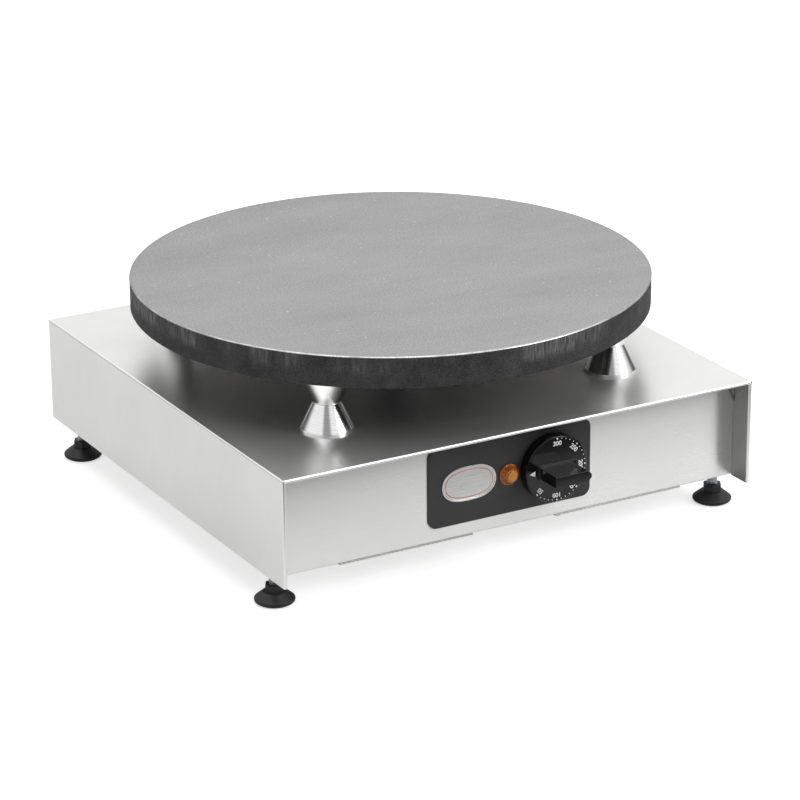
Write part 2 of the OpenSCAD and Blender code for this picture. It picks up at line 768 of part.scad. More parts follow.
module tie_washers() {
    color(ZINC) at_spacers() translate([0, 0, rail_low_z - WASHER_T]) difference() {
        cylinder(h = WASHER_T, d = 3 * tie_d);
        drill(WASHER_T, tie_d + 2 * SEAT);
    }
}

module tie_nuts() {
    color(ZINC) at_spacers() translate([0, 0, rail_low_z - WASHER_T - TIE_NUT_H]) difference() {
        hex_bar(tie_d * 1.625, TIE_NUT_H);
        drill(TIE_NUT_H, tie_d + 2 * SLIP);
    }
}

// ---- heating ----

// How far in front of the middle a ring's ends bend inwards
function bend_back(ring_r, lead_x) = sqrt(pow(ring_r - LEAD_BEND, 2) - pow(lead_x + LEAD_BEND, 2));

// One heating ring, open at the front, whose ends bend inwards and run to y = end_y
module heating_ring(ring_r, lead_x, d, end_y) {
    bend_x = lead_x + LEAD_BEND;
    bend_y = bend_back(ring_r, lead_x);
    ring_end = asin(bend_x / (ring_r - LEAD_BEND));
    rotate([0, 0, -90 + ring_end]) rotate_extrude(angle = 360 - 2 * ring_end)
        translate([ring_r, 0]) circle(d = d, $fn = 48);
    for (side = [0, 1]) mirror([side, 0, 0]) {
        translate([bend_x, -bend_y, 0]) rotate([0, 0, 180])
            rotate_extrude(angle = 90 + ring_end)
                translate([LEAD_BEND, 0]) circle(d = d, $fn = 48);
        run([lead_x, -bend_y, 0], [lead_x, end_y, 0], d, $fn = 48);
        sleeve([lead_x, -bend_y, 0], [0, 1, 0], d, $fn = 48);
        sleeve([sin(ring_end), -cos(ring_end), 0] * ring_r, [cos(ring_end), sin(ring_end), 0],
               d, $fn = 48);
    }
}

// Both rings
module heating_rings(d, end_y) {
    translate([0, 0, element_z]) {
        heating_ring(outer_ring_r, LEAD_X[0], d, end_y);
        heating_ring(inner_ring_r, LEAD_X[1], d, end_y);
    }
}

module heating_elements() {
    color(DARK_STEEL) heating_rings(element_d, lead_y);
}

module element_terminals() {
    color(CERAMIC) for (x = LEAD_X, side = [-1, 1]) translate([side * x, lead_y, element_z])
        rotate([-90, 0, 0]) {
            cylinder(h = BEAD_L, d = element_d - 1);
            cylinder(h = BEAD_L + PIN_L, d = PIN_D);
            translate([0, 0, BEAD_L + PIN_D]) hex_bar(2 * PIN_D, PIN_D);
        }
}

module element_clamps() {
    length = element_pitch + 3 * element_d;
    color(ZINC) at_clamps() translate([0, 0, bar_low_z]) linear_extrude(height = BAR_T) difference() {
        round_rect(length, BAR_W, BAR_W / 4);
        circle(d = CLAMP_SCREW_D + 2 * SLIP);
    }
}

module clamp_screws() {
    color(ZINC) at_clamps() translate([0, 0, bar_low_z])
        pan_screw(CLAMP_SCREW_D, CLAMP_SCREW_D * HEAD_RATIO, HEAD_H, BAR_T + SCREW_IN);
}

module insulation() {
    color("#e9e4d6") translate([0, 0, pan_floor_z]) difference() {
        cylinder(h = blanket_t, r = pan_r - PAN_T - SEAT);
        drill(blanket_t, LEAD_HOLE_D);
    }
}

module underpan() {
    color(ZINC) difference() {
        union() {
            translate([0, 0, pan_low_z]) cylinder(h = pan_flange_z - pan_low_z, r = pan_r);
            translate([0, 0, pan_flange_z - PAN_T]) cylinder(h = PAN_T, r = pan_r + PAN_FLANGE);
        }
        translate([0, 0, pan_floor_z]) cylinder(h = pan_flange_z, r = pan_r - PAN_T);
        translate([0, 0, pan_low_z]) drill(PAN_T, conduit_d - 2 * CONDUIT_T);
        at_spacers() translate([0, 0, pan_floor_z]) cylinder(h = rim_h, r = boss_r + PAN_GAP / 2);
        at_pan_screws() translate([0, 0, pan_flange_z - PAN_T])
            drill(PAN_T, PAN_SCREW_D + 2 * SLIP);
    }
}

module underpan_screws() {
    color(ZINC) at_pan_screws() translate([0, 0, pan_flange_z - PAN_T])
        pan_screw(PAN_SCREW_D, PAN_SCREW_D * HEAD_RATIO, HEAD_H, PAN_T + SCREW_IN);
}

module lead_conduit() {
    height = pan_low_z - base_z;
    color(ZINC) translate([0, 0, base_z]) difference() {
        union() {
            cylinder(h = height, d = conduit_d);
            for (z = [0, height - CONDUIT_T]) translate([0, 0, z])
                cylinder(h = CONDUIT_T, d = conduit_d + 2 * CONDUIT_FLANGE);
        }
        drill(height, conduit_d - 2 * CONDUIT_T);
    }
}

// An edge guard where the leads pass through the cover
module conduit_bushing() {
    hole = conduit_d - 2 * CONDUIT_T;
    neck_h = 4 * sheet_t;
    lip_t = 1.5;
    color(BLACK) translate([0, 0, under_z]) difference() {
        union() {
            cylinder(h = neck_h, d = hole - 2 * SLIP);
            translate([0, 0, -lip_t]) cylinder(h = lip_t, d = hole + 8);
        }
        translate([0, 0, -lip_t]) drill(neck_h + lip_t, hole - 6);
    }
}

// ---- thermostat ----

// The bulb's two ends, in the plane of the griddle
function bulb_end(side) = let (
        mid = [cos(BULB_ANGLE), sin(BULB_ANGLE), 0] * bulb_reach,
        along = [-sin(BULB_ANGLE), cos(BULB_ANGLE), 0])
    mid + along * side * bulb_l / 2 + [0, 0, bulb_z];

module sensor_bulb() {
    color(COPPER) run(bulb_end(-1), bulb_end(1), bulb_d - 2 * SLIP);
}

module bulb_clip() {
    t = 0.8;
    width = 14;
    ear = 9;
    outer = bulb_d + 2 * t;
    color(ZINC) rotate([0, 0, BULB_ANGLE]) translate([bulb_reach, 0, ceiling_z]) difference() {
        union() {
            translate([-outer / 2, -width / 2, -bulb_d - t]) cube([outer, width, bulb_d + t]);
            translate([-bulb_d / 2 - ear, -width / 2, -t]) cube([bulb_d + 2 * ear, width, t]);
        }
        translate([-bulb_d / 2, -width, -bulb_d]) cube([bulb_d, 2 * width, bulb_d + PAST]);
    }
}

// The capillary's corners: from the bulb under the inner ring, down the conduit, to the thermostat
function capillary_way() = let (
        start = bulb_end(-1),
        bulb_out = start + [sin(BULB_ANGLE), -cos(BULB_ANGLE), 0] * CAPILLARY_OUT,
        under = bulb_out * (inner_ring_r + element_d) / norm([bulb_out.x, bulb_out.y]),
        port = [knob_x + PORT_X, -(thermo_y - THERMO_D), control_z])
    [start, bulb_out, [under.x, under.y, capillary_z],
     [CAPILLARY_HOLE.x, CAPILLARY_HOLE.y, capillary_z],
     [CAPILLARY_HOLE.x, CAPILLARY_HOLE.y, control_z + CAPILLARY_DROP],
     port + [0, CAPILLARY_TAIL, CAPILLARY_DROP], port + [0, CAPILLARY_TAIL, 0], port];

module capillary() {
    color(COPPER) bent_tube(capillary_way(), CAPILLARY_BEND, CAPILLARY_D, $fn = 24);
}

// A blade for a push-on connector, standing out along Y
module tab() {
    cube([TAB_T, TAB_L, TAB_W]);
}

module thermostat_body() {
    step = 3;
    front_d = THERMO_D - 7;
    back_d = THERMO_D - 2;
    color(BLACK) difference() {
        translate([knob_x, -thermo_y, control_z]) {
            translate([-THERMO_W / 2, 0, -THERMO_H / 2]) cube([THERMO_W, front_d, THERMO_H]);
            translate([step - THERMO_W / 2, 0, step - THERMO_H / 2])
                cube([THERMO_W - 2 * step, back_d, THERMO_H - 2 * step]);
            translate([PORT_X, THERMO_D, 0]) rotate([90, 0, 0]) cylinder(h = THERMO_D / 4, d = 20);
            for (i = [0 : 2])
                translate([step + (i - 3) * TAB_PITCH, back_d - EPS, -TAB_W - step]) tab();
        }
        translate([knob_x, 0, control_z])
            front_rod(thermo_y - SHAFT_IN - PAST, SHAFT_IN + 2 * PAST, shaft_d + 2 * SLIP);
        at_thermo_screws()
            front_rod(thermo_y - SCREW_IN - PAST, SCREW_IN + 2 * PAST, THERMO_SCREW_D + 2 * SLIP);
    }
}

// The steel plate that the thermostat hangs on, with the bush that guides its shaft
module thermostat_bracket() {
    bush_l = fascia_y - thermo_y;
    color(ZINC) difference() {
        translate([knob_x, 0, control_z]) {
            to_front(thermo_y, BRACKET_T)
                round_rect(THERMO_PITCH + BRACKET_H, BRACKET_H, BRACKET_H / 4);
            front_rod(thermo_y, bush_l, BUSH_D);
        }
        translate([knob_x, 0, control_z])
            front_rod(thermo_y - PAST, bush_l + 2 * PAST, shaft_d + 2 * SLIP);
        at_thermo_screws()
            front_rod(thermo_y - PAST, bush_l + 2 * PAST, THERMO_SCREW_D + 2 * SLIP);
    }
}

module thermostat_screws() {
    length = fascia_y - thermo_y + SCREW_IN;
    color(ZINC) at_thermo_screws() translate([0, -fascia_y, 0]) rotate([-90, 0, 0])
        pan_screw(THERMO_SCREW_D, THERMO_SCREW_D * HEAD_RATIO, HEAD_H, length);
}

// What the flat takes off the shaft, gap further out
module shaft_flat(gap) {
    translate([-shaft_d, -knob_back - SHAFT_IN_KNOB - PAST, shaft_d / 2 - SHAFT_FLAT + gap])
        cube([2 * shaft_d, SHAFT_IN_KNOB + PAST, shaft_d]);
}

module thermostat_shaft() {
    length = knob_back + SHAFT_IN_KNOB - thermo_y + SHAFT_IN;
    color(ZINC) translate([knob_x, 0, control_z]) difference() {
        front_rod(thermo_y - SHAFT_IN, length, shaft_d);
        shaft_flat(0);
    }
}

// The outline of the grip, seen from its end, with two corners cut off at the right
module grip_outline() {
    cut = 3;
    half = grip_t / 2;
    polygon([[-grip_l / 2, -half], [grip_l / 2 - cut, -half], [grip_l / 2, -half + cut],
             [grip_l / 2, half - cut], [grip_l / 2 - cut, half], [-grip_l / 2, half]]);
}

module control_knob() {
    r = knob_d / 2;
    inner = r - KNOB_WALL;
    edge = 0.8;
    back_edge = 0.3;
    hub_short = 2.4;
    color(BLACK) translate([knob_x, 0, control_z]) difference() {
        union() {
            translate([0, -knob_back, 0]) rotate([90, 0, 0]) rotate_extrude() polygon([
                [inner, 0], [r - back_edge, 0], [r, back_edge], [r, knob_cup_h - edge],
                [r - edge, knob_cup_h], [0, knob_cup_h], [0, knob_cup_h - KNOB_WALL],
                [inner, knob_cup_h - KNOB_WALL]]);
            front_rod(knob_back + hub_short, knob_cup_h - hub_short - PAST, 2 * shaft_d);
            to_front(knob_face - EPS, grip_h + EPS) grip_outline();
            to_front(knob_face - EPS, GRIP_FOOT_H) round_rect(grip_l + 2, grip_t + 2.4, 1);
        }
        difference() {
            front_rod(knob_back - PAST, SHAFT_IN_KNOB + PAST + SLIP, shaft_d + 2 * SLIP);
            shaft_flat(SLIP);
        }
    }
}

// ---- fascia ----

module control_fascia() {
    color("#383838") difference() {
        translate([fascia_x, 0, control_z]) to_front(panel_y, fascia_t)
            round_rect(fascia_w, fascia_h, fascia_r);
        control_holes();
    }
}

// A plain oval trim plate with a raised border
module badge_plate() {
    border = 1.4;
    color("#b4b4b2") translate([badge_x, 0, control_z]) difference() {
        to_front(fascia_y, BADGE_T) round_rect(BADGE_W, BADGE_H, BADGE_R);
        to_front(fascia_y + BADGE_T / 2, BADGE_T)
            round_rect(BADGE_W - 2 * border, BADGE_H - 2 * border, BADGE_R - border);
    }
}

module pilot_lens() {
    color(AMBER) translate([lamp_x, 0, control_z]) {
        front_rod(fascia_y, LAMP_FLANGE_T, LAMP_FLANGE_D);
        translate([0, -fascia_y - LAMP_FLANGE_T + EPS, 0]) rotate([90, 0, 0]) {
            for (turn = [0, 180 / LAMP_SIDES]) rotate([0, 0, turn])
                cylinder(h = LAMP_CAP_H + EPS, d1 = LAMP_CAP_D, d2 = LAMP_CAP_D - LAMP_CAP_IN,
                    $fn = LAMP_SIDES);
            translate([0, 0, LAMP_CAP_H]) cylinder(h = LAMP_TIP_H + EPS, d = LAMP_TIP_D);
        }
    }
}

module pilot_body() {
    color(BLACK) translate([lamp_x, 0, control_z]) {
        front_rod(panel_y - LAMP_BODY_L, LAMP_BODY_L + fascia_t, LAMP_HOLE_D - 2 * SLIP);
        for (side = [-1, 1])
            translate([(side * LAMP_HOLE_D / 2 - TAB_T) / 2, LAMP_BODY_L - panel_y - EPS, -TAB_W / 4])
                cube([TAB_T, TAB_L, TAB_W / 2]);
    }
}

module pilot_clip() {
    color(ZINC) translate([lamp_x, 0, control_z]) difference() {
        front_rod(thermo_front - LAMP_CLIP_T, LAMP_CLIP_T, LAMP_HOLE_D + 6);
        front_rod(thermo_front - LAMP_CLIP_T - PAST, LAMP_CLIP_T + 2 * PAST, LAMP_HOLE_D);
    }
}

// ---- inside the base ----

module limiter_body() {
    color(BLACK) translate([LIMITER_X, LIMITER_Y, side_z]) difference() {
        union() {
            translate([-LIMITER_W / 2, -LIMITER_D / 2, 0]) cube([LIMITER_W, LIMITER_D, LIMITER_H]);
            translate([0, 0, -LIMITER_BUSH_H])
                cylinder(h = LIMITER_BUSH_H + PAST, d = LIMITER_BUSH_D);
            for (side = [-1, 1])
                translate([side * LIMITER_W / 4 - TAB_T / 2, -TAB_W / 2, LIMITER_H - EPS])
                    cube([TAB_T, TAB_W, TAB_L]);
        }
        translate([0, 0, -LIMITER_BUSH_H - PAST])
            cylinder(h = LIMITER_BUSH_H + 2 * RESET_IN + PAST, d = RESET_D + 2 * SLIP);
    }
}

module limiter_nut() {
    color(ZINC) translate([LIMITER_X, LIMITER_Y, bottom_low_z - LIMITER_NUT_H]) difference() {
        hex_bar(LIMITER_NUT_AF, LIMITER_NUT_H);
        drill(LIMITER_NUT_H, LIMITER_BUSH_D + 2 * SLIP);
    }
}

module reset_button() {
    r = RESET_D / 2;
    length = LIMITER_BUSH_H + RESET_OUT + RESET_IN;
    cut = 0.5;
    color("#b3261e") translate([LIMITER_X, LIMITER_Y, side_z + RESET_IN - length])
        rotate_extrude() polygon([[0, 0], [r - cut, 0], [r, cut], [r, length], [0, length]]);
}

// Places its children at each pole of the terminal block
module at_poles() {
    for (i = [0 : BLOCK_POLES - 1])
        translate([gland_x + (i - (BLOCK_POLES - 1) / 2) * BLOCK_PITCH, block_y, side_z]) children();
}

module terminal_block() {
    color(CERAMIC) difference() {
        translate([gland_x - BLOCK_W / 2, block_y - BLOCK_D / 2, side_z])
            cube([BLOCK_W, BLOCK_D, BLOCK_H]);
        at_poles() {
            translate([0, BLOCK_D, WIRE_Z]) rotate([90, 0, 0]) cylinder(h = 2 * BLOCK_D, d = WIRE_D);
            for (side = [-1, 1]) translate([0, side * BLOCK_SCREW_Y, WIRE_Z])
                cylinder(h = BLOCK_H, d = WIRE_D);
        }
        for (i = [1 : BLOCK_POLES - 1])
            translate([gland_x + (i - BLOCK_POLES / 2) * BLOCK_PITCH - BLOCK_NOTCH / 2,
                       block_y - BLOCK_D, side_z + BLOCK_H - WIRE_D])
                cube([BLOCK_NOTCH, 2 * BLOCK_D, WIRE_D + PAST]);
    }
}

module terminal_screws() {
    length = 5;
    slot = 0.8;
    color(BRASS) at_poles() for (side = [-1, 1])
        translate([0, side * BLOCK_SCREW_Y, WIRE_Z + WIRE_D]) difference() {
            cylinder(h = length, d = WIRE_D - 2 * SLIP);
            translate([-WIRE_D, -slot / 2, length - slot]) cube([2 * WIRE_D, slot, 2 * slot]);
        }
}

module earth_stud() {
    color(ZINC) translate([EARTH_X, panel_y - foot_flange_d / 2, side_z + sheet_t]) {
        cylinder(h = 3 * EARTH_D, d = EARTH_D);
        cylinder(h = WASHER_T, d = 2 * EARTH_D);
        translate([0, 0, WASHER_T]) hex_bar(EARTH_AF, EARTH_NUT_H);
    }
}

// ---- cable gland ----

// Places its children on the gland's axis, with Z pointing out of the rear panel
module on_gland() {
    translate([gland_x, panel_y, gland_z]) rotate([-90, 0, 0]) children();
}

module gland_body() {
    color(BLACK) on_gland() difference() {
        union() {
            hex_bar(gland_d + GLAND_HEX_MORE, GLAND_HEX_H);
            translate([0, 0, -GLAND_THREAD_IN])
                cylinder(h = GLAND_THREAD_IN + PAST, d = gland_d);
            cylinder(h = GLAND_HEX_H + GLAND_THREAD_OUT, d = gland_d - 2 * SLIP);
        }
        translate([0, 0, -GLAND_THREAD_IN - PAST])
            cylinder(h = gland_out + GLAND_THREAD_IN, d = gland_bore_d + GLAND_WALL);
    }
}

module gland_cap() {
    r = (gland_d + GLAND_HEX_MORE - 1) / 2;
    color(BLACK) on_gland() translate([0, 0, GLAND_HEX_H + SEAT]) difference() {
        union() {
            hex_bar(2 * r, GLAND_GRIP_H);
            rotate_extrude() polygon([
                [0, 0], [r, 0], [r, GLAND_GRIP_H + 2], [r - 1.7, gland_cap_h - 6],
                [r - 4.1, gland_cap_h - 1.6], [r - 5.1, gland_cap_h], [0, gland_cap_h]]);
        }
        translate([0, 0, -PAST]) {
            cylinder(h = GLAND_THREAD_OUT + 2 * PAST, d = gland_d);
            cylinder(h = gland_cap_h - GLAND_LIP + PAST, d = gland_seal_d);
        }
        drill(gland_cap_h, gland_bore_d);
    }
}

module gland_seal() {
    low = GLAND_HEX_H + GLAND_THREAD_OUT + SEAT;
    length = gland_out - GLAND_LIP - SEAT - low;
    color(RUBBER) on_gland() translate([0, 0, low]) difference() {
        cylinder(h = length, d = gland_seal_d - 2 * SLIP);
        drill(length, gland_bore_d);
    }
}

module gland_locknut() {
    color(BLACK) on_gland() translate([0, 0, -sheet_t - GLAND_NUT_H]) difference() {
        hex_bar(gland_d + GLAND_HEX_MORE + 2, GLAND_NUT_H);
        drill(GLAND_NUT_H, gland_d + 2 * SLIP);
    }
}

base_cover();
front_panel();
rear_panel();
bottom_cover();
bottom_screws();
support_rails();
foot_inserts();
foot_stud_front_left();
foot_stud_front_right();
foot_stud_rear_left();
foot_stud_rear_right();
foot_pad_front_left();
foot_pad_front_right();
foot_pad_rear_left();
foot_pad_rear_right();
griddle_plate();
spacers();
tie_studs();
tie_nuts();
tie_washers();
heating_elements();
element_terminals();
element_clamps();
clamp_screws();
insulation();
underpan();
underpan_screws();
lead_conduit();
conduit_bushing();
sensor_bulb();
bulb_clip();
capillary();
control_fascia();
badge_plate();
pilot_lens();
pilot_body();
pilot_clip();
thermostat_body();
thermostat_bracket();
thermostat_screws();
thermostat_shaft();
control_knob();
limiter_body();
limiter_nut();
reset_button();
terminal_block();
terminal_screws();
earth_stud();
gland_body();
gland_cap();
gland_seal();
gland_locknut();
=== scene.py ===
"""Electric crepe maker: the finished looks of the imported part.

Lengths are metres. X runs left to right, Y front to back and Z up, and the table is z = 0.
Every piece stands where its CAD node stands and rides on the same body.
"""

from __future__ import annotations

import logging
import math
from collections.abc import Sequence
from dataclasses import dataclass
from enum import Enum

import bmesh
import bpy
from mathutils import Matrix, Vector, noise

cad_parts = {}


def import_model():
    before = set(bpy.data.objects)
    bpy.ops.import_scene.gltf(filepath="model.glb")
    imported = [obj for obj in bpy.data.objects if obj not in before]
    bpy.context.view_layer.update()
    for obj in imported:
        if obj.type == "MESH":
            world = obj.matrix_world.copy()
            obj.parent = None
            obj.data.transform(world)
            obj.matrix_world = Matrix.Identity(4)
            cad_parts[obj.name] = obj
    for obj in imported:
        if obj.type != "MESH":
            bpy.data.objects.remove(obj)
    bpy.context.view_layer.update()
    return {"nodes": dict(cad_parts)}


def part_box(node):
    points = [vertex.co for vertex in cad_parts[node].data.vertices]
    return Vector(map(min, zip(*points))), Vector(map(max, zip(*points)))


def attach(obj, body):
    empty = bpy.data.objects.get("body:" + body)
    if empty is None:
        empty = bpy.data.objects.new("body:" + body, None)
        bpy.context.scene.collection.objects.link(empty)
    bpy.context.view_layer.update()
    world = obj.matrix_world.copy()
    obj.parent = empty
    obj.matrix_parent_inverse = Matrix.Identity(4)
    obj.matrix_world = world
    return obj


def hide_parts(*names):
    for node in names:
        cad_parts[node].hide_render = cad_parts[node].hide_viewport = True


log = logging.getLogger("crepe_maker")

Tree = bpy.types.NodeTree
Node = bpy.types.Node
Socket = bpy.types.NodeSocket
Mesh = bmesh.types.BMesh

MM = 0.001
GRAIN_UV = "grain"
SHARP_ANGLE = math.radians(50)
MERGE_CAD = 2e-6
X_AXIS, Y_AXIS, Z_AXIS = Vector((1, 0, 0)), Vector((0, 1, 0)), Vector((0, 0, 1))


# ---- nodes and finishes ----


def linear(code: str) -> tuple[float, float, float, float]:
    """Turns an sRGB hex colour into the linear colour that a socket takes.

    Args:
        code: the colour, such as "#d2d2d0".

    Returns:
        Linear red, green and blue, and an alpha of 1.
    """
    parts = [int(code[i : i + 2], 16) / 255 for i in (1, 3, 5)]
    low = [c / 12.92 if c <= 0.04045 else ((c + 0.055) / 1.055) ** 2.4 for c in parts]
    return (low[0], low[1], low[2], 1.0)


def put(tree: Tree, socket: Socket, value: object) -> None:
    """Links an input to an output, or gives it a constant.

    Args:
        tree: the tree that holds them.
        socket: the input.
        value: an output, a node, whose first live output is meant, or a constant.
    """
    if isinstance(value, Node):
        value = next(out for out in value.outputs if out.enabled)
    if isinstance(value, Socket):
        tree.links.new(value, socket)
    else:
        socket.default_value = value


def add_node(
    tree: Tree, kind: str, inputs: dict[str | int, object] | None = None, **settings: object
) -> Node:
    """Adds one node.

    Args:
        tree: the tree that gets the node.
        kind: the node's type, after the word ShaderNode.
        inputs: constants, outputs and nodes, by the input's name or number.
        settings: its properties; stops lists a ramp's (place, sRGB hex) pairs, and ends lists
            a range's From Min, From Max, To Min and To Max.

    Returns:
        The new node.
    """
    node = tree.nodes.new(f"ShaderNode{kind}")
    for name, value in settings.items():
        if name == "stops":
            for element, (place, code) in zip(node.color_ramp.elements, value):
                element.position, element.color = place, linear(code)
        elif name == "ends":
            for end, number in zip(("From Min", "From Max", "To Min", "To Max"), value):
                node.inputs[end].default_value = number
        else:
            setattr(node, name, value)
    for name, value in (inputs or {}).items():
        put(tree, node.inputs[name], value)
    return node


def mottle(
    tree: Tree, size_mm: float, stretch: Sequence[float] = (1, 1, 1), detail: float = 2.0,
    on_grain: bool = False,
) -> Node:
    """A soft random value from 0 to 1 over the surface.

    Args:
        tree: the material's tree.
        size_mm: the size of one cloud or grain.
        stretch: how much longer it is along each axis.
        detail: how many finer layers it carries.
        on_grain: whether it follows the piece's own grain map, along and across.

    Returns:
        The value's node.
    """
    if on_grain:
        place = add_node(tree, "UVMap", uv_map=GRAIN_UV)
    else:
        place = add_node(tree, "TexCoord").outputs["Object"]
    scale = [1 / (size_mm * MM * s) for s in stretch]
    laid = add_node(tree, "Mapping", {"Vector": place, "Scale": scale})
    return add_node(tree, "TexNoise", {
        "Vector": laid, "Scale": 1.0, "Detail": detail, "Roughness": 0.6})


def dots(tree: Tree, pitch_mm: float, core: float, rim: float, most: float) -> Node:
    """Round dots at random places, which fade from their middle to nothing.

    Args:
        tree: the material's tree.
        pitch_mm: mean distance between dots.
        core: radius of a dot's full middle, as a share of the pitch.
        rim: radius at which it has faded, as a share of the pitch.
        most: the value in its middle.

    Returns:
        The value's node.
    """
    place = add_node(tree, "TexCoord").outputs["Object"]
    cells = add_node(tree, "TexVoronoi", {
        "Vector": place, "Scale": 1 / (pitch_mm * MM), "Randomness": 1.0}, feature="F1")
    return add_node(tree, "MapRange", {"Value": cells}, ends=(core, rim, most, 0.0))


@dataclass(frozen=True)
class Finish:
    """The colours, metal and gloss of a surface; each kind of surface adds its pattern.

    Attributes:
        name: the material's common name and how its surface was made.
        colour: sRGB hex colour of the clean surface.
        roughness: roughness of the clean surface.
        metallic: 1 for bare metal.
        shade: sRGB hex colour of the pattern's darker side.
    """

    name: str
    colour: str
    roughness: float
    metallic: float = 0.0
    shade: str = "#000000"

    def material(self) -> bpy.types.Material:
        """Makes the finish's material at its first use.

        Returns:
            The material.
        """
        found = bpy.data.materials.get(self.name)
        if found is not None:
            return found
        made = bpy.data.materials.new(self.name)
        made.use_nodes = True
        tree = made.node_tree
        tree.nodes.clear()
        shader = add_node(tree, "BsdfPrincipled", {
            "Base Color": linear(self.colour), "Roughness": self.roughness,
            "Metallic": self.metallic})
        add_node(tree, "OutputMaterial", {"Surface": shader})
        self.pattern(tree, shader)
        return made

    def pattern(self, tree: Tree, shader: Node) -> None:
        """Adds what makes the surface more than a flat colour."""
        raise NotImplementedError

    def two_tones(
        self, tree: Tree, first: Node, second: Node, share: float,
        ends: tuple[float, float] = (0.3, 0.62),
    ) -> tuple[Node, Node]:
        """Mixes two values, and colours the mix from the shade to the clean colour.

        Args:
            tree: the material's tree.
            first: the first value.
            second: the second value.
            share: the first value's share of the mix.
            ends: the mix at which the plain shade ends, and at which the plain colour starts.

        Returns:
            The mix and its colour.
        """
        mix: Node | float = 0.0
        for value, weight in ((first, share), (second, 1 - share)):
            mix = add_node(tree, "Math", {0: value, 1: weight, 2: mix}, operation="MULTIPLY_ADD")
        stops = [(ends[0], self.shade), (ends[1], self.colour)]
        return mix, add_node(tree, "ValToRGB", {"Fac": mix}, stops=stops)

    def dress(
        self, tree: Tree, shader: Node, colour: Node, relief: tuple[Node, float],
        haze: tuple[Node, float, float] | None = None,
    ) -> None:
        """Gives the shader its colour, relief and uneven gloss.

        Args:
            tree: the material's tree.
            shader: the material's shader.
            colour: the colour.
            relief: the height, and its depth in millimetres.
            haze: a value, how far from 0 and 1 it runs, and how far it moves the roughness to
                each side; without it the gloss is even.
        """
        put(tree, shader.inputs["Base Color"], colour)
        put(tree, shader.inputs["Normal"], add_node(tree, "Bump", {
            "Height": relief[0], "Strength": 1.0, "Distance": relief[1] * MM}))
        if haze is not None:
            value, margin, spread = haze
            put(tree, shader.inputs["Roughness"], add_node(
                tree, "MapRange", {"Value": value}, ends=(
                    margin, 1 - margin, self.roughness + spread, self.roughness - spread)))


@dataclass(frozen=True)
class MottledFinish(Finish):
    """A surface with an even grain: moulded, plated, drawn or pressed.

    Attributes:
        grain_mm: size of the visible grain.
        cloud_mm: size of the broad variation in colour and gloss.
        gloss_spread: how far the roughness varies to each side.
        relief_mm: depth of the grain.
        coat: weight of a clear top layer.
    """

    grain_mm: float = 1.0
    cloud_mm: float = 12.0
    gloss_spread: float = 0.05
    relief_mm: float = 0.02
    coat: float = 0.0

    def pattern(self, tree: Tree, shader: Node) -> None:
        """Broad clouds tint the colour and the gloss, and the fine grain gives the relief.

        Args:
            tree: the material's tree.
            shader: its shader.
        """
        cloud = mottle(tree, self.cloud_mm, detail=3.0)
        grain = mottle(tree, self.grain_mm)
        mixed, colour = self.two_tones(tree, cloud, grain, 0.6)
        self.dress(tree, shader, colour, (grain, self.relief_mm),
                   (mixed, 0.25, self.gloss_spread))
        shader.inputs["Coat Weight"].default_value = self.coat


@dataclass(frozen=True)
class BrushedFinish(Finish):
    """Metal with fine parallel lines along the piece's grain map: belt-ground or turned.

    Attributes:
        line_mm: width of the widest lines, drawn coarse enough to show.
        line_l_mm: length of a line.
        spread: anisotropy of the highlight.
        gloss_spread: how far the roughness varies.
        relief_mm: depth of the lines.
        speck: whether a few small dark specks lie on it.
        haze_mm: size of the broad haze.
        speck_mm: mean distance between specks.
    """

    line_mm: float = 0.5
    line_l_mm: float = 30.0
    spread: float = 0.6
    gloss_spread: float = 0.05
    relief_mm: float = 0.0012
    speck: bool = False
    haze_mm: float = 70.0
    speck_mm: float = 26.0

    def pattern(self, tree: Tree, shader: Node) -> None:
        """Lines along the grain, a broad haze, and a highlight drawn out across the grain.

        Args:
            tree: the material's tree.
            shader: its shader.
        """
        lines = mottle(tree, self.line_mm, (self.line_l_mm / self.line_mm, 1, 1), on_grain=True)
        mixed, colour = self.two_tones(tree, lines, mottle(tree, self.haze_mm), 0.55)
        if self.speck:
            colour = add_node(tree, "Mix", {
                0: dots(tree, self.speck_mm, 0.012, 0.03, 0.45), 6: colour,
                7: linear(self.shade)}, data_type="RGBA")
        self.dress(tree, shader, colour, (lines, self.relief_mm),
                   (mixed, 0.25, self.gloss_spread))
        put(tree, shader.inputs["Tangent"], add_node(
            tree, "Tangent", direction_type="UV_MAP", uv_map=GRAIN_UV))
        shader.inputs["Anisotropic"].default_value = self.spread
        shader.inputs["Anisotropic Rotation"].default_value = 0.25


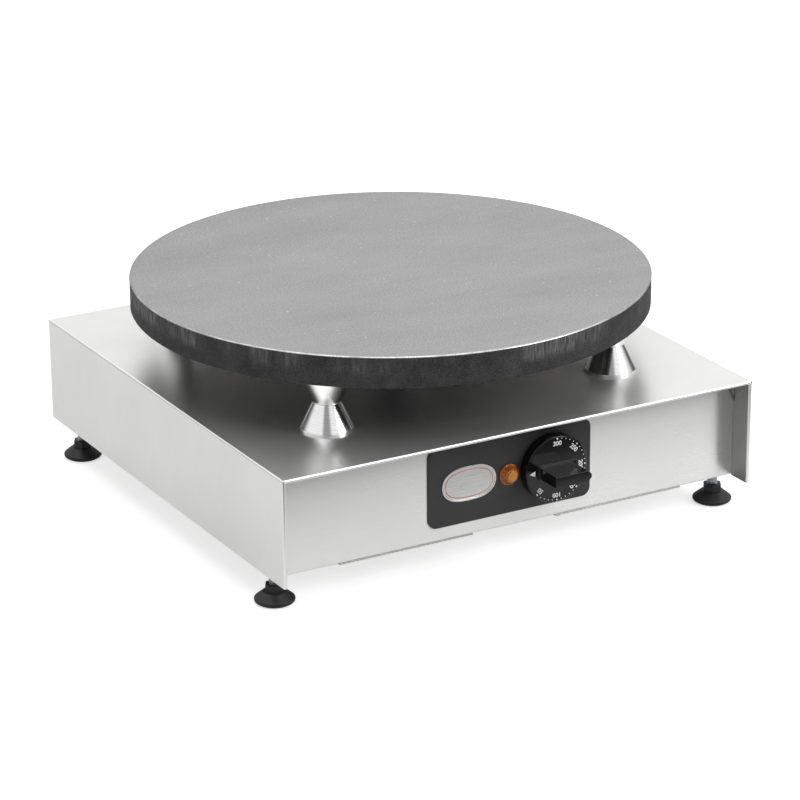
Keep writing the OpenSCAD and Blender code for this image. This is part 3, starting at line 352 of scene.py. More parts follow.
@dataclass(frozen=True)
class CookingFace(Finish):
    """Cast iron, turned flat and seasoned: a satin grey with pale specks where the oil lifted.

    Attributes:
        fleck: sRGB hex colour of the specks.
        fleck_mm: mean distance between specks.
        cloud_mm: size of the clouds across X, along which they are longer.
        tooth_mm: size of the fine tooth that the turning left.
        field_mm: size of the fields with more or fewer specks.
    """

    fleck: str = "#ffffff"
    fleck_mm: float = 5.0
    cloud_mm: float = 50.0
    tooth_mm: float = 1.3
    field_mm: float = 38.0

    def pattern(self, tree: Tree, shader: Node) -> None:
        """Clouds that lie along X, a fine tooth, and sparse flecks that keep to a few fields.

        Args:
            tree: the material's tree.
            shader: its shader.
        """
        cloud = mottle(tree, self.cloud_mm, (2.2, 1, 1), 3.0)
        tooth = mottle(tree, self.tooth_mm, detail=3.0)
        _, base = self.two_tones(tree, cloud, tooth, 0.22, (0.36, 0.64))
        fields = add_node(tree, "MapRange", {"Value": mottle(tree, self.field_mm)},
                          ends=(0.4, 0.7, 0.1, 0.8))
        flecks = add_node(tree, "Math", {
            0: dots(tree, self.fleck_mm, 0.05, 0.12, 1.0), 1: fields},
            operation="MULTIPLY")
        colour = add_node(tree, "Mix", {0: flecks, 6: base, 7: linear(self.fleck)},
                          data_type="RGBA")
        self.dress(tree, shader, colour, (tooth, 0.02), (cloud, 0, 0.06))


@dataclass(frozen=True)
class CastSkin(Finish):
    """Cast iron as it leaves the sand: matt and granular, with pale smears near its top, partly
    rubbed wear and partly painted sheen.

    Attributes:
        smear: sRGB hex colour of the pale smears, rubbed wear and painted sheen.
        low: height of the rim's lower edge.
        high: height of the rim's upper edge.
        held_x: on the left, where the painted sheen starts, and where it is strongest.
        sand_mm: size of the sand grains.
        cloud_mm: size of the broad variation.
        patch_mm: width of a rubbed patch.
        stroke_mm: width of the strokes in it.
    """

    smear: str = "#ffffff"
    low: float = 0.0
    high: float = 1.0
    held_x: tuple[float, float] = (-0.15, -0.18)
    sand_mm: float = 1.1
    cloud_mm: float = 20.0
    patch_mm: float = 52.0
    stroke_mm: float = 1.6

    def pattern(self, tree: Tree, shader: Node) -> None:
        """Sand grain in colour and relief, and pale smears in the upper half, rubbed wear with
        painted sheen, most at the left.

        Args:
            tree: the material's tree.
            shader: its shader.
        """
        sand = mottle(tree, self.sand_mm, detail=4.0)
        cloud = mottle(tree, self.cloud_mm)
        _, base = self.two_tones(tree, sand, cloud, 0.65, (0.34, 0.62))
        place = add_node(tree, "SeparateXYZ", {
            0: add_node(tree, "TexCoord").outputs["Object"]}).outputs
        rim = self.high - self.low
        # pale smears only in the rim's upper half: partly rubbed wear, partly painted sheen
        upper = add_node(tree, "MapRange", {"Value": place["Z"]}, ends=(
            self.low + 0.35 * rim, self.low + 0.6 * rim))
        # painted sheen: the smears grow stronger towards the rim's left end
        held = add_node(tree, "MapRange", {"Value": place["X"]}, ends=(*self.held_x, 0, 0.14))
        patch = mottle(tree, self.patch_mm, (1, 1, 3))
        worn = add_node(tree, "Math", {0: patch, 1: held}, operation="ADD")
        where = add_node(tree, "MapRange", {"Value": worn}, ends=(0.5, 0.62))
        lines = mottle(tree, self.stroke_mm, (1, 1, 9))
        stroke = add_node(tree, "MapRange", {"Value": lines}, ends=(0.35, 0.7))
        amount = upper
        for factor in (where, stroke, 0.75):
            amount = add_node(tree, "Math", {0: amount, 1: factor}, operation="MULTIPLY")
        colour = add_node(tree, "Mix", {0: amount, 6: base, 7: linear(self.smear)},
                          data_type="RGBA")
        self.dress(tree, shader, colour, (sand, 0.35))


@dataclass(frozen=True)
class AmberAcrylic(MottledFinish):
    """Amber acrylic, injection moulded: clear, so its facets light up from inside."""

    def pattern(self, tree: Tree, shader: Node) -> None:
        """The even grain of a moulding, in a body that lets part of the light through.

        Args:
            tree: the material's tree.
            shader: its shader.
        """
        super().pattern(tree, shader)
        shader.inputs["IOR"].default_value = 1.49
        shader.inputs["Transmission Weight"].default_value = 0.35


# Stainless 1.4301 sheet, belt-ground with a fine grit: a pale blurred mirror
BRUSHED_STAINLESS = BrushedFinish(
    "stainless_sheet_belt_ground", "#fefefd", 0.31, 0.89, "#f3f3f2", 0.35, 30.0, 0.3, 0.02,
    speck=True)
# The panels' sheet, ground with a coarser grit along its length: blurred across the lines
LINED_STAINLESS = BrushedFinish(
    "stainless_sheet_coarse_ground", "#fafaf9", 0.28, 0.9, "#f3f3f2", 0.4, 35.0, 0.9, 0.015,
    0.0004, True)
# The same sheet's inner side, as it left the mill: dull, and darker as painted shade for the
# recessed inner faces
MILL_STAINLESS = MottledFinish(
    "stainless_sheet_mill_finish", "#a6a6a5", 0.45, 1.0, "#989897", 0.8, 30.0, 0.04, 0.002)
# The same sheet on the bottom cover, ground less evenly and a little duller, and darker as
# painted shade along the base's lower edge
SATIN_STAINLESS = BrushedFinish(
    "stainless_sheet_satin", "#cfcfcd", 0.36, 1.0, "#b9b9b7", 0.5, 30.0, 0.5)
# Aluminium rod, turned and polished: nearly white, with rings left by the tool
TURNED_ALUMINIUM = BrushedFinish(
    "aluminium_turned_polished", "#f2f2f2", 0.15, 1.0, "#d6d6d6", 0.5, 30.0, 0.55, 0.03)
# Cast iron cooking face, turned and seasoned with oil: satin, mid grey
SEASONED_FACE = CookingFace(
    "cast_iron_turned_seasoned", "#bcbcbc", 0.44, 0.25, "#929292", "#ffffff", 8.0)
# Cast iron chamfer, turned bare: a thin bright line with dull stretches
BARE_CHAMFER = MottledFinish(
    "cast_iron_turned_bare", "#e8e8e8", 0.3, 0.9, "#6c6c6c", 0.8, 26.0, 0.08, 0.01)
# Cast iron as cast, blackened by the first firing: matt with a sandy grain, and pale smears of
# rubbed wear and painted sheen
CAST_SKIN = CastSkin(
    "cast_iron_as_cast", "#464646", 0.78, 0.0, "#151515", "#868686", 0.149, 0.173)
# Zinc-plated steel, clear passivated: cool grey, faintly clouded
ZINC_PLATED = MottledFinish(
    "steel_zinc_plated", "#c9ccce", 0.3, 1.0, "#9fa3a6", 0.6, 9.0, 0.08, 0.006)
# Steel sheet over the rings, browned and dulled by their heat, and darker still as painted shade
# under the griddle
HEATED_SHEET = MottledFinish(
    "steel_sheet_heat_darkened", "#6d6b69", 0.5, 0.85, "#4c4a48", 2.5, 26.0, 0.08, 0.006)
# Aluminised steel sheet: dull spangled grey
ALUMINISED_SHEET = MottledFinish(
    "steel_sheet_aluminised", "#b9bcbd", 0.42, 1.0, "#8f9294", 2.5, 18.0, 0.08, 0.004)
# Mild steel channel, hot rolled and pickled: darker and rougher than the plated parts
PICKLED_STEEL = MottledFinish(
    "steel_hot_rolled_pickled", "#7b7b79", 0.5, 0.9, "#4f4f4d", 1.4, 24.0, 0.08, 0.02)
# Nickel alloy element sheath, oxidised by its first heating: brown-black satin
OXIDISED_SHEATH = MottledFinish(
    "nickel_alloy_sheath_oxidised", "#56504b", 0.55, 0.7, "#2e2a27", 0.7, 14.0, 0.08, 0.01)
# Steatite insulators, pressed and fired: cream, dense and matt
STEATITE = MottledFinish(
    "steatite_pressed_fired", "#e6dfcf", 0.5, 0.0, "#cfc6b2", 0.8, 8.0, 0.06, 0.02)
# Mineral wool blanket: pale and fibrous
MINERAL_WOOL = MottledFinish(
    "mineral_wool_blanket", "#e2dcc8", 0.95, 0.0, "#b5ab8e", 1.6, 14.0, 0.03, 0.6)
# Copper bulb and capillary, drawn: warm, slightly tarnished
DRAWN_COPPER = MottledFinish(
    "copper_drawn_tarnished", "#c07a50", 0.32, 1.0, "#8a4f31", 0.9, 10.0, 0.08, 0.006)
# Brass terminal screws, turned and slotted: yellow and bright
TURNED_BRASS = MottledFinish(
    "brass_turned", "#c9a65a", 0.28, 1.0, "#9a7a3a", 0.5, 6.0, 0.06, 0.006)
# Glass-filled nylon, moulded with a spark-eroded skin: black with a low sheen
BLACK_NYLON = MottledFinish(
    "nylon_glass_filled_moulded", "#141414", 0.46, 0.0, "#0a0a0a", 0.5, 16.0, 0.06, 0.02)
# Phenolic resin, compression moulded: black with a deep gloss
BLACK_PHENOLIC = MottledFinish(
    "phenolic_compression_moulded", "#0a0a0a", 0.15, 0.0, "#050505", 0.8, 20.0, 0.03, 0.006)
# Nylon push button, moulded: signal red, satin
RED_NYLON = MottledFinish(
    "nylon_red_moulded", "#b3261e", 0.4, 0.0, "#8c1a14", 0.5, 8.0, 0.06, 0.01)
# Chloroprene sealing ring, moulded: dull black
SEAL_RUBBER = MottledFinish(
    "chloroprene_moulded", "#232323", 0.7, 0.0, "#151515", 0.6, 9.0, 0.05, 0.03)
# Anodised aluminium fascia, glass-bead blasted and dyed: dark grey, nearly matt
DYED_FASCIA = MottledFinish(
    "aluminium_blasted_dyed", "#3c3c3c", 0.52, 0.15, "#323232", 0.45, 40.0, 0.04, 0.006)
# Anodised aluminium trim, lightly brushed along its length: satin silver
SATIN_TRIM = BrushedFinish(
    "aluminium_anodised_satin", "#ececea", 0.26, 0.92, "#c4c4c2", 0.5, 24.0, 0.8)
# Enamel paint laid in a groove of the trim: an even, glossy red
RED_ENAMEL = MottledFinish(
    "enamel_red_filled", "#d8402c", 0.3, 0.0, "#b8301e", 0.6, 8.0, 0.05, 0.004)
# White ink, pad-printed on the knob: slightly uneven
WHITE_INK = MottledFinish(
    "ink_white_pad_printed", "#ffffff", 0.5, 0.0, "#ececec", 0.3, 3.0, 0.05, 0.003)
# Amber acrylic lens, moulded: glossy and deep
AMBER_LENS = AmberAcrylic(
    "acrylic_amber_moulded", "#d9740c", 0.12, 0.0, "#a34c05", 0.7, 5.0, 0.04, 0.01, 0.3)
# The lens's front disc, frosted in the mould: paler and dull
AMBER_DISC = MottledFinish(
    "acrylic_amber_frosted", "#d08a30", 0.4, 0.0, "#b87622", 0.6, 6.0, 0.06, 0.01)


# ---- mesh helpers ----


class Grain(Enum):
    """Which way a piece's lines run."""

    ALONG_X = "along_x"
    ROUND_Y = "round_y"


def lay_grain(bm: Mesh, grain: Grain = Grain.ALONG_X, corner_x: float = 1.0) -> None:
    """Writes the grain map: U runs along the lines and V across them, in metres.

    Args:
        bm: the piece's mesh.
        grain: ALONG_X for flat sheet, and ROUND_Y for sheet folded round Y, whose lines turn
            down its sides.
        corner_x: on a sheet folded round Y, how far out its upright edges begin.
    """
    layers = bm.loops.layers.uv
    uv = layers.get(GRAIN_UV) or layers.new(GRAIN_UV)
    bm.normal_update()
    for face in bm.faces:
        normal, middle = face.normal, face.calc_center_median()
        along = Y_AXIS.cross(normal) if grain is Grain.ROUND_Y else X_AXIS.copy()
        if grain is Grain.ROUND_Y and along.length < 0.3:  # the face looks along Y
            along = Z_AXIS.copy() if abs(middle.x) > corner_x else X_AXIS.copy()
        if abs(along.normalized().dot(normal)) > 0.9:  # the face looks along the lines
            along = Z_AXIS.copy()
        along.normalize()
        across = normal.cross(along).normalized()
        for loop in face.loops:
            loop[uv].uv = (loop.vert.co.dot(along), loop.vert.co.dot(across))


def turned(profile: Sequence[tuple[float, float]], steps: int) -> Mesh:
    """Turns a closed profile round Z.

    Args:
        profile: its (radius, height) points, none of them on the axis.
        steps: how many steps the full turn has.

    Returns:
        The turned mesh, with a grain map whose U runs round it.
    """
    bm = bmesh.new()
    way = bm.verts.layers.float.new("way")
    verts, run = [], 0.0
    for i, (radius, height) in enumerate(profile):
        if i:
            run += math.dist(profile[i - 1], profile[i])
        vert = bm.verts.new((radius, 0, height))
        vert[way] = run
        verts.append(vert)
    edges = [bm.edges.new(pair) for pair in zip(verts, verts[1:] + verts[:1])]
    bmesh.ops.spin(bm, geom=verts + edges, cent=(0, 0, 0), axis=(0, 0, 1), angle=math.tau,
                   steps=steps, use_merge=True, use_normal_flip=False, use_duplicate=False)
    bmesh.ops.remove_doubles(bm, verts=bm.verts, dist=1e-7)
    bmesh.ops.recalc_face_normals(bm, faces=bm.faces)
    uv = bm.loops.layers.uv.new(GRAIN_UV)
    u_per_turn = 0.02
    for face in bm.faces:
        middle = face.calc_center_median()
        centre = math.atan2(middle.y, middle.x)
        for loop in face.loops:
            turn = math.atan2(loop.vert.co.y, loop.vert.co.x)
            turn = centre + (turn - centre + math.pi) % math.tau - math.pi
            loop[uv].uv = (turn * u_per_turn, loop.vert[way])
    return bm


def break_edges(bm: Mesh, width: float, limit: float = 32, segments: int = 2) -> None:
    """Rounds a mesh's sharp edges.

    Args:
        bm: the mesh.
        width: how far the rounding reaches from each edge.
        limit: the angle in degrees from which an edge is sharp.
        segments: how many faces each rounding has.
    """
    least = math.radians(limit)
    edges = [e for e in bm.edges if e.is_manifold and e.calc_face_angle(0) > least]
    if edges:
        bmesh.ops.bevel(bm, geom=edges, offset=width, offset_type="OFFSET", segments=segments,
                        profile=0.5, affect="EDGES", clamp_overlap=False, material=-1)


def raise_faces(bm: Mesh, faces: Sequence[bmesh.types.BMFace], height: float) -> None:
    """Extrudes faces along Z.

    Args:
        bm: the mesh.
        faces: its faces that rise.
        height: how far they rise.
    """
    grown = bmesh.ops.extrude_face_region(bm, geom=faces)["geom"]
    bmesh.ops.translate(bm, vec=(0, 0, height),
                        verts=[g for g in grown if isinstance(g, bmesh.types.BMVert)])


def cad_copy(node: str) -> Mesh:
    """A merged copy of a CAD node's mesh, with its flat faces whole again.

    Args:
        node: the CAD node.

    Returns:
        The copy.
    """
    bm = bmesh.new()
    bm.from_mesh(bpy.data.objects[node].data)
    for layer in list(bm.loops.layers.uv):
        bm.loops.layers.uv.remove(layer)
    bmesh.ops.remove_doubles(bm, verts=bm.verts, dist=MERGE_CAD)
    bmesh.ops.dissolve_limit(bm, angle_limit=math.radians(0.4), use_dissolve_boundaries=False,
                             verts=bm.verts, edges=bm.edges, delimit=set())
    return bm


def joined(parts: Sequence[Mesh]) -> Mesh:
    """Puts several meshes into one, keeping their material numbers and grain.

    Args:
        parts: the meshes; they are freed.

    Returns:
        The one mesh.
    """
    whole = bmesh.new()
    whole.loops.layers.uv.new(GRAIN_UV)
    for part in parts:
        carrier = bpy.data.meshes.new("carrier")
        part.to_mesh(carrier)
        part.free()
        whole.from_mesh(carrier)
        bpy.data.meshes.remove(carrier)
    return whole


def piece(
    bm: Mesh,
    name: str,
    body: str,
    finishes: Sequence[Finish],
    stands_for: Sequence[str] = (),
) -> bpy.types.Object:
    """Turns a mesh into a finished piece of the object.

    Args:
        bm: the mesh, in place; it is freed.
        name: the piece's name.
        body: the body that it rides on.
        finishes: one finish for each material number of its faces.
        stands_for: the CAD nodes that it replaces.

    Returns:
        The new object.
    """
    mesh = bpy.data.meshes.new(name)
    bm.to_mesh(mesh)
    bm.free()
    for finish in finishes:
        mesh.materials.append(finish.material())
    mesh.polygons.foreach_set("use_smooth", [True] * len(mesh.polygons))
    mesh.set_sharp_from_angle(angle=SHARP_ANGLE)
    made = bpy.data.objects.new(name, mesh)
    bpy.context.scene.collection.objects.link(made)
    weigh = made.modifiers.new("even_normals", "WEIGHTED_NORMAL")
    weigh.keep_sharp = True
    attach(made, body)
    if stands_for:
        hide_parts(*stands_for)
    log.info("%s: %d faces, on %s, for %s", name, len(mesh.polygons), body, list(stands_for))
    return made


@dataclass(frozen=True)
class Refined:
    """A CAD node whose mesh is right, and which only needs broken edges and a finish.

    Attributes:
        node: the CAD node; the piece is named after it.
        slot: the record's material slot; not used.
        finish: its finish.
        edge_mm: how far its edges are rounded.
        body: the body that it rides on.
    """

    node: str
    slot: str
    finish: Finish
    edge_mm: float = 0.15
    body: str = "root"

    def build(self) -> None:
        """Makes the piece, with lines along X."""
        bm = cad_copy(self.node)
        break_edges(bm, self.edge_mm * MM)
        lay_grain(bm)
        piece(bm, f"{self.node}_finished", self.body, [self.finish], [self.node])


# ---- sub-assemblies ----


@dataclass
class Griddle:
    """The cast plate: its seasoned face, bare chamfer and rough rim, over the CAD underside.

    Attributes:
        radius: outer radius.
        top: height of the cooking face.
        bottom: height of the rim's lower edge.
        chamfer: width of the chamfer round the face.
        low_cut: width of the cut under the rim.
        around: about how many faces the rim has round it.
        rings: how many rings of faces the rim has.
        face_rings: radii of the cooking face's rings, as shares of the outer radius.
        ripple: depth of the cast rim's unevenness.
        ripple_rate: how often the unevenness changes, per metre.
        calm: over what height it dies down below the chamfer.
    """

    radius: float = 200 * MM
    top: float = 173 * MM
    bottom: float = 149 * MM
    chamfer: float = 0.9 * MM
    low_cut: float = 0.8 * MM
    around: int = 800
    rings: int = 9
    face_rings: Sequence[float] = (0.985, 0.93, 0.8, 0.6, 0.4, 0.2, 0.05)
    ripple: float = 0.22 * MM
    ripple_rate: float = 90
    calm: float = 4 * MM

    def build(self) -> None:
        """Rebuilds the rim and the face in fine rings on the CAD plate's underside."""
        on_face, on_rim, on_chamfer = range(3)
        bm = cad_copy("griddle_plate")
        # what is made anew: the face, and all that lies outside a circle within both cuts
        inner = self.radius - max(self.low_cut, self.chamfer) - 0.1 * MM
        near_top = self.top - 0.02 * MM
        outer = [f for f in bm.faces if f.calc_center_median().z > near_top
                 or all(math.hypot(v.co.x, v.co.y) > inner for v in f.verts)]
        bmesh.ops.delete(bm, geom=outer, context="FACES")
        loop = [e for e in bm.edges if e.is_boundary]
        bmesh.ops.subdivide_edges(
            bm, edges=loop, cuts=max(1, round(self.around / len(loop)) - 1))
        loop = [e for e in bm.edges if e.is_boundary]
        self.to_circle({v for e in loop for v in e.verts}, self.radius - self.low_cut,
                       self.bottom)
        side_low, side_top = self.bottom + self.low_cut, self.top - self.chamfer
        steps = [(self.radius, side_low + (side_top - side_low) * k / self.rings, on_rim)
                 for k in range(self.rings + 1)]
        steps += [(self.radius - self.chamfer, self.top, on_chamfer)]
        steps += [(self.radius * share, self.top, on_face) for share in self.face_rings]
        for face in bm.faces:
            face.material_index = on_rim
        for radius, height, zone in steps:
            grown = bmesh.ops.extrude_edge_only(bm, edges=loop)["geom"]
            verts = {g for g in grown if isinstance(g, bmesh.types.BMVert)}
            for face in (g for g in grown if isinstance(g, bmesh.types.BMFace)):
                face.material_index = zone
            loop = [g for g in grown if isinstance(g, bmesh.types.BMEdge)
                    and g.verts[0] in verts and g.verts[1] in verts]
            self.to_circle(verts, radius, height)
        bmesh.ops.edgeloop_fill(bm, edges=loop, mat_nr=on_face)
        self.roughen(bm, side_top)
        bmesh.ops.recalc_face_normals(bm, faces=bm.faces)
        piece(bm, "griddle_finished", "root",
              [SEASONED_FACE, CAST_SKIN, BARE_CHAMFER], ["griddle_plate"])

    @staticmethod
    def to_circle(verts: set[bmesh.types.BMVert], radius: float, height: float) -> None:
        """Moves vertices to a circle round Z, each at its own angle.

        Args:
            verts: the vertices.
            radius: the circle's radius.
            height: its height.
        """
        for vert in verts:
            flat = Vector((vert.co.x, vert.co.y, 0)).normalized() * radius
            vert.co = (flat.x, flat.y, height)

    def roughen(self, bm: Mesh, side_top: float) -> None:
        """Sinks the cast rim by the unevenness of its mould, less so near the chamfer.

        Args:
            bm: the griddle's mesh.
            side_top: height of the rim's upper edge, under the chamfer.
        """
        for vert in bm.verts:
            reach = math.hypot(vert.co.x, vert.co.y)
            if reach < self.radius - self.low_cut or vert.co.z > side_top + 0.01 * MM:
                continue
            share = min(1.0, (side_top - vert.co.z) / self.calm + 0.15)
            value = noise.fractal(vert.co * self.ripple_rate, 0.8, 2.0, 3) * 0.5 + 0.5
            depth = self.ripple * share * min(1.0, max(0.0, value))
            vert.co -= Vector((vert.co.x, vert.co.y, 0)) / reach * depth


@dataclass
class Spacers:
    """Four turned double cones between the base and the griddle.

    Attributes:
        low: height of the base's top.
        height: height of a spacer.
        radius: radius of its ends.
        waist: radius of its waist.
        waist_land: half the height of the straight land at the waist.
        land: height of the straight land at each end.
        cut: width of the cut at each end.
        bore: radius of the hole for the tie stud.
        reach: distance of its axis from the griddle's.
        angles: its four places round the griddle, in degrees.
        steps: how many faces it has round it.
    """

    low: float = 107.2 * MM
    height: float = 41.8 * MM
    radius: float = 20 * MM
    waist: float = 10.25 * MM
    waist_land: float = 0.25 * MM
    land: float = 1.5 * MM
    cut: float = 0.3 * MM
    bore: float = 4.3 * MM
    reach: float = 173.2 * MM
    angles: Sequence[float] = (45, 135, 225, 315)
    steps: int = 128

    def build(self) -> None:
        """Turns one spacer and sets it at its four places."""
        half = [(self.bore, 0), (self.radius - self.cut, 0), (self.radius, self.cut),
                (self.radius, self.land), (self.waist, self.height / 2 - self.waist_land)]
        profile = half + [(r, self.height - z) for r, z in reversed(half)]
        parts = []
        for angle in self.angles:
            bm = turned(profile, self.steps)
            break_edges(bm, 0.12 * MM, 20)
            turn = Matrix.Rotation(math.radians(angle), 4, "Z")
            place = turn @ Matrix.Translation((self.reach, 0, self.low))
            bmesh.ops.transform(bm, matrix=place, verts=bm.verts)
            parts.append(bm)
        piece(joined(parts), "spacers_finished", "root",
              [TURNED_ALUMINIUM], ["spacers"])


@dataclass
class SheetBase:
    """The folded steel of the base: cover, panels and bottom.

    Attributes:
        half: half the width of the base.
        hem: how far in from its front and rear edges the sheet's ground side is folded round.
        corner: how far in from the sides the upright edges begin.
        edge_mm: how far the sheet's cut edges are rounded.
    """

    half: float = 200 * MM
    hem: float = 1.4 * MM
    corner: float = 4 * MM
    edge_mm: float = 0.12

    def build(self) -> None:
        """Makes each sheet part from its CAD node, with deburred edges and a brushed grain."""
        self.cover()
        for node, finish in (("front_panel", LINED_STAINLESS), ("rear_panel", LINED_STAINLESS),
                             # the bottom cover's darker satin is partly painted shade along the
                             # base's lower edge
                             ("bottom_cover", SATIN_STAINLESS)):
            Refined(node, "stainless", finish, self.edge_mm).build()

    def cover(self) -> None:
        """Runs the cover's grain round Y, and gives its inner side the mill's finish, darkened as
        painted shade.
        """
        bm = cad_copy("base_cover")
        break_edges(bm, self.edge_mm * MM)
        bm.normal_update()
        for face in bm.faces:
            middle, normal = face.calc_center_median(), face.normal
            inwards = max(-normal.x * math.copysign(1, middle.x), -normal.z)
            if inwards > 0.95 and abs(middle.y) < self.half - self.hem:  # an inner flat
                # the recessed inner flats get the dull mill finish, darkened as painted shade
                face.material_index = 1
        lay_grain(bm, Grain.ROUND_Y, self.half - self.corner)
        piece(bm, "base_cover_finished", "root",
              [BRUSHED_STAINLESS, MILL_STAINLESS], ["base_cover"])


@dataclass
class Feet:
    """Four screw feet: a moulded pad snapped on a threaded stud.

    Attributes:
        reach: distance of the feet from the middle, in X and Y.
        stud_radius: crest radius of the thread.
        pitch: pitch of the thread.
        depth: depth of the thread, as a share of its pitch.
        low: height of the studs' lower ends.
        high: height of the studs' upper ends.
        cut: width of the chamfer at their ends.
        steps: how many steps one turn of the thread has.
    """

    reach: tuple[float, float] = (190 * MM, 165 * MM)
    stud_radius: float = 3.97 * MM
    pitch: float = 1.25 * MM
    depth: float = 0.6134
    low: float = 3 * MM
    high: float = 38 * MM
    cut: float = 0.75 * MM
    steps: int = 28

    def build(self) -> None:
        """Makes a pad and a stud at each corner."""
        for end, y in (("front", -1), ("rear", 1)):
            for side, x in (("left", -1), ("right", 1)):
                corner = f"{end}_{side}"
                Refined(f"foot_pad_{corner}", "black_plastic", BLACK_NYLON, 0.3,
                        f"pad_{corner}").build()
                bm = self.threaded_rod()
                place = Matrix.Translation((x * self.reach[0], y * self.reach[1], 0))
                bmesh.ops.transform(bm, matrix=place, verts=bm.verts)
                piece(bm, f"foot_stud_{corner}_finished", f"stud_{corner}",
                      [ZINC_PLATED], [f"foot_stud_{corner}"])

    def threaded_rod(self) -> Mesh:
        """Spins a thread's profile up along Z, and cuts and chamfers its ends.

        Returns:
            The rod's mesh.
        """
        root = self.stud_radius - self.depth * self.pitch
        turns = math.ceil((self.high - self.low) / self.pitch) + 3
        start = self.low - 1.5 * self.pitch  # the spare turns are cut off at both ends
        # one pitch of the thread: its crest, a flank, its root and a flank
        shape = [(self.stud_radius, 0), (self.stud_radius, 1 / 8), (root, 7 / 16),
                 (root, 11 / 16), (self.stud_radius, 1)]
        bm = bmesh.new()
        verts = [bm.verts.new((r, 0, start + share * self.pitch)) for r, share in shape]
        edges = [bm.edges.new(pair) for pair in zip(verts, verts[1:])]
        bmesh.ops.spin(bm, geom=verts + edges, cent=(0, 0, 0), axis=(0, 0, 1),
                       dvec=(0, 0, self.pitch / self.steps), angle=math.tau * turns,
                       steps=self.steps * turns, use_merge=False, use_normal_flip=False,
                       use_duplicate=False)
        bmesh.ops.remove_doubles(bm, verts=bm.verts, dist=1e-6)
        for height, sense in ((self.low, -1), (self.high, 1)):
            bmesh.ops.bisect_plane(
                bm, geom=bm.verts[:] + bm.edges[:] + bm.faces[:], dist=1e-7,
                plane_co=(0, 0, height), plane_no=(0, 0, sense), clear_outer=True)
            rim = [e for e in bm.edges if e.is_boundary
                   and all(abs(v.co.z - height) < 1e-6 for v in e.verts)]
            bmesh.ops.edgeloop_fill(bm, edges=rim)
        for vert in bm.verts:
            reach = math.hypot(vert.co.x, vert.co.y)
            from_end = min(vert.co.z - self.low, self.high - vert.co.z)
            most = self.stud_radius - self.cut + from_end
            if reach > most:
                vert.co.x, vert.co.y = vert.co.x * most / reach, vert.co.y * most / reach
        bmesh.ops.recalc_face_normals(bm, faces=bm.faces)
        return bm


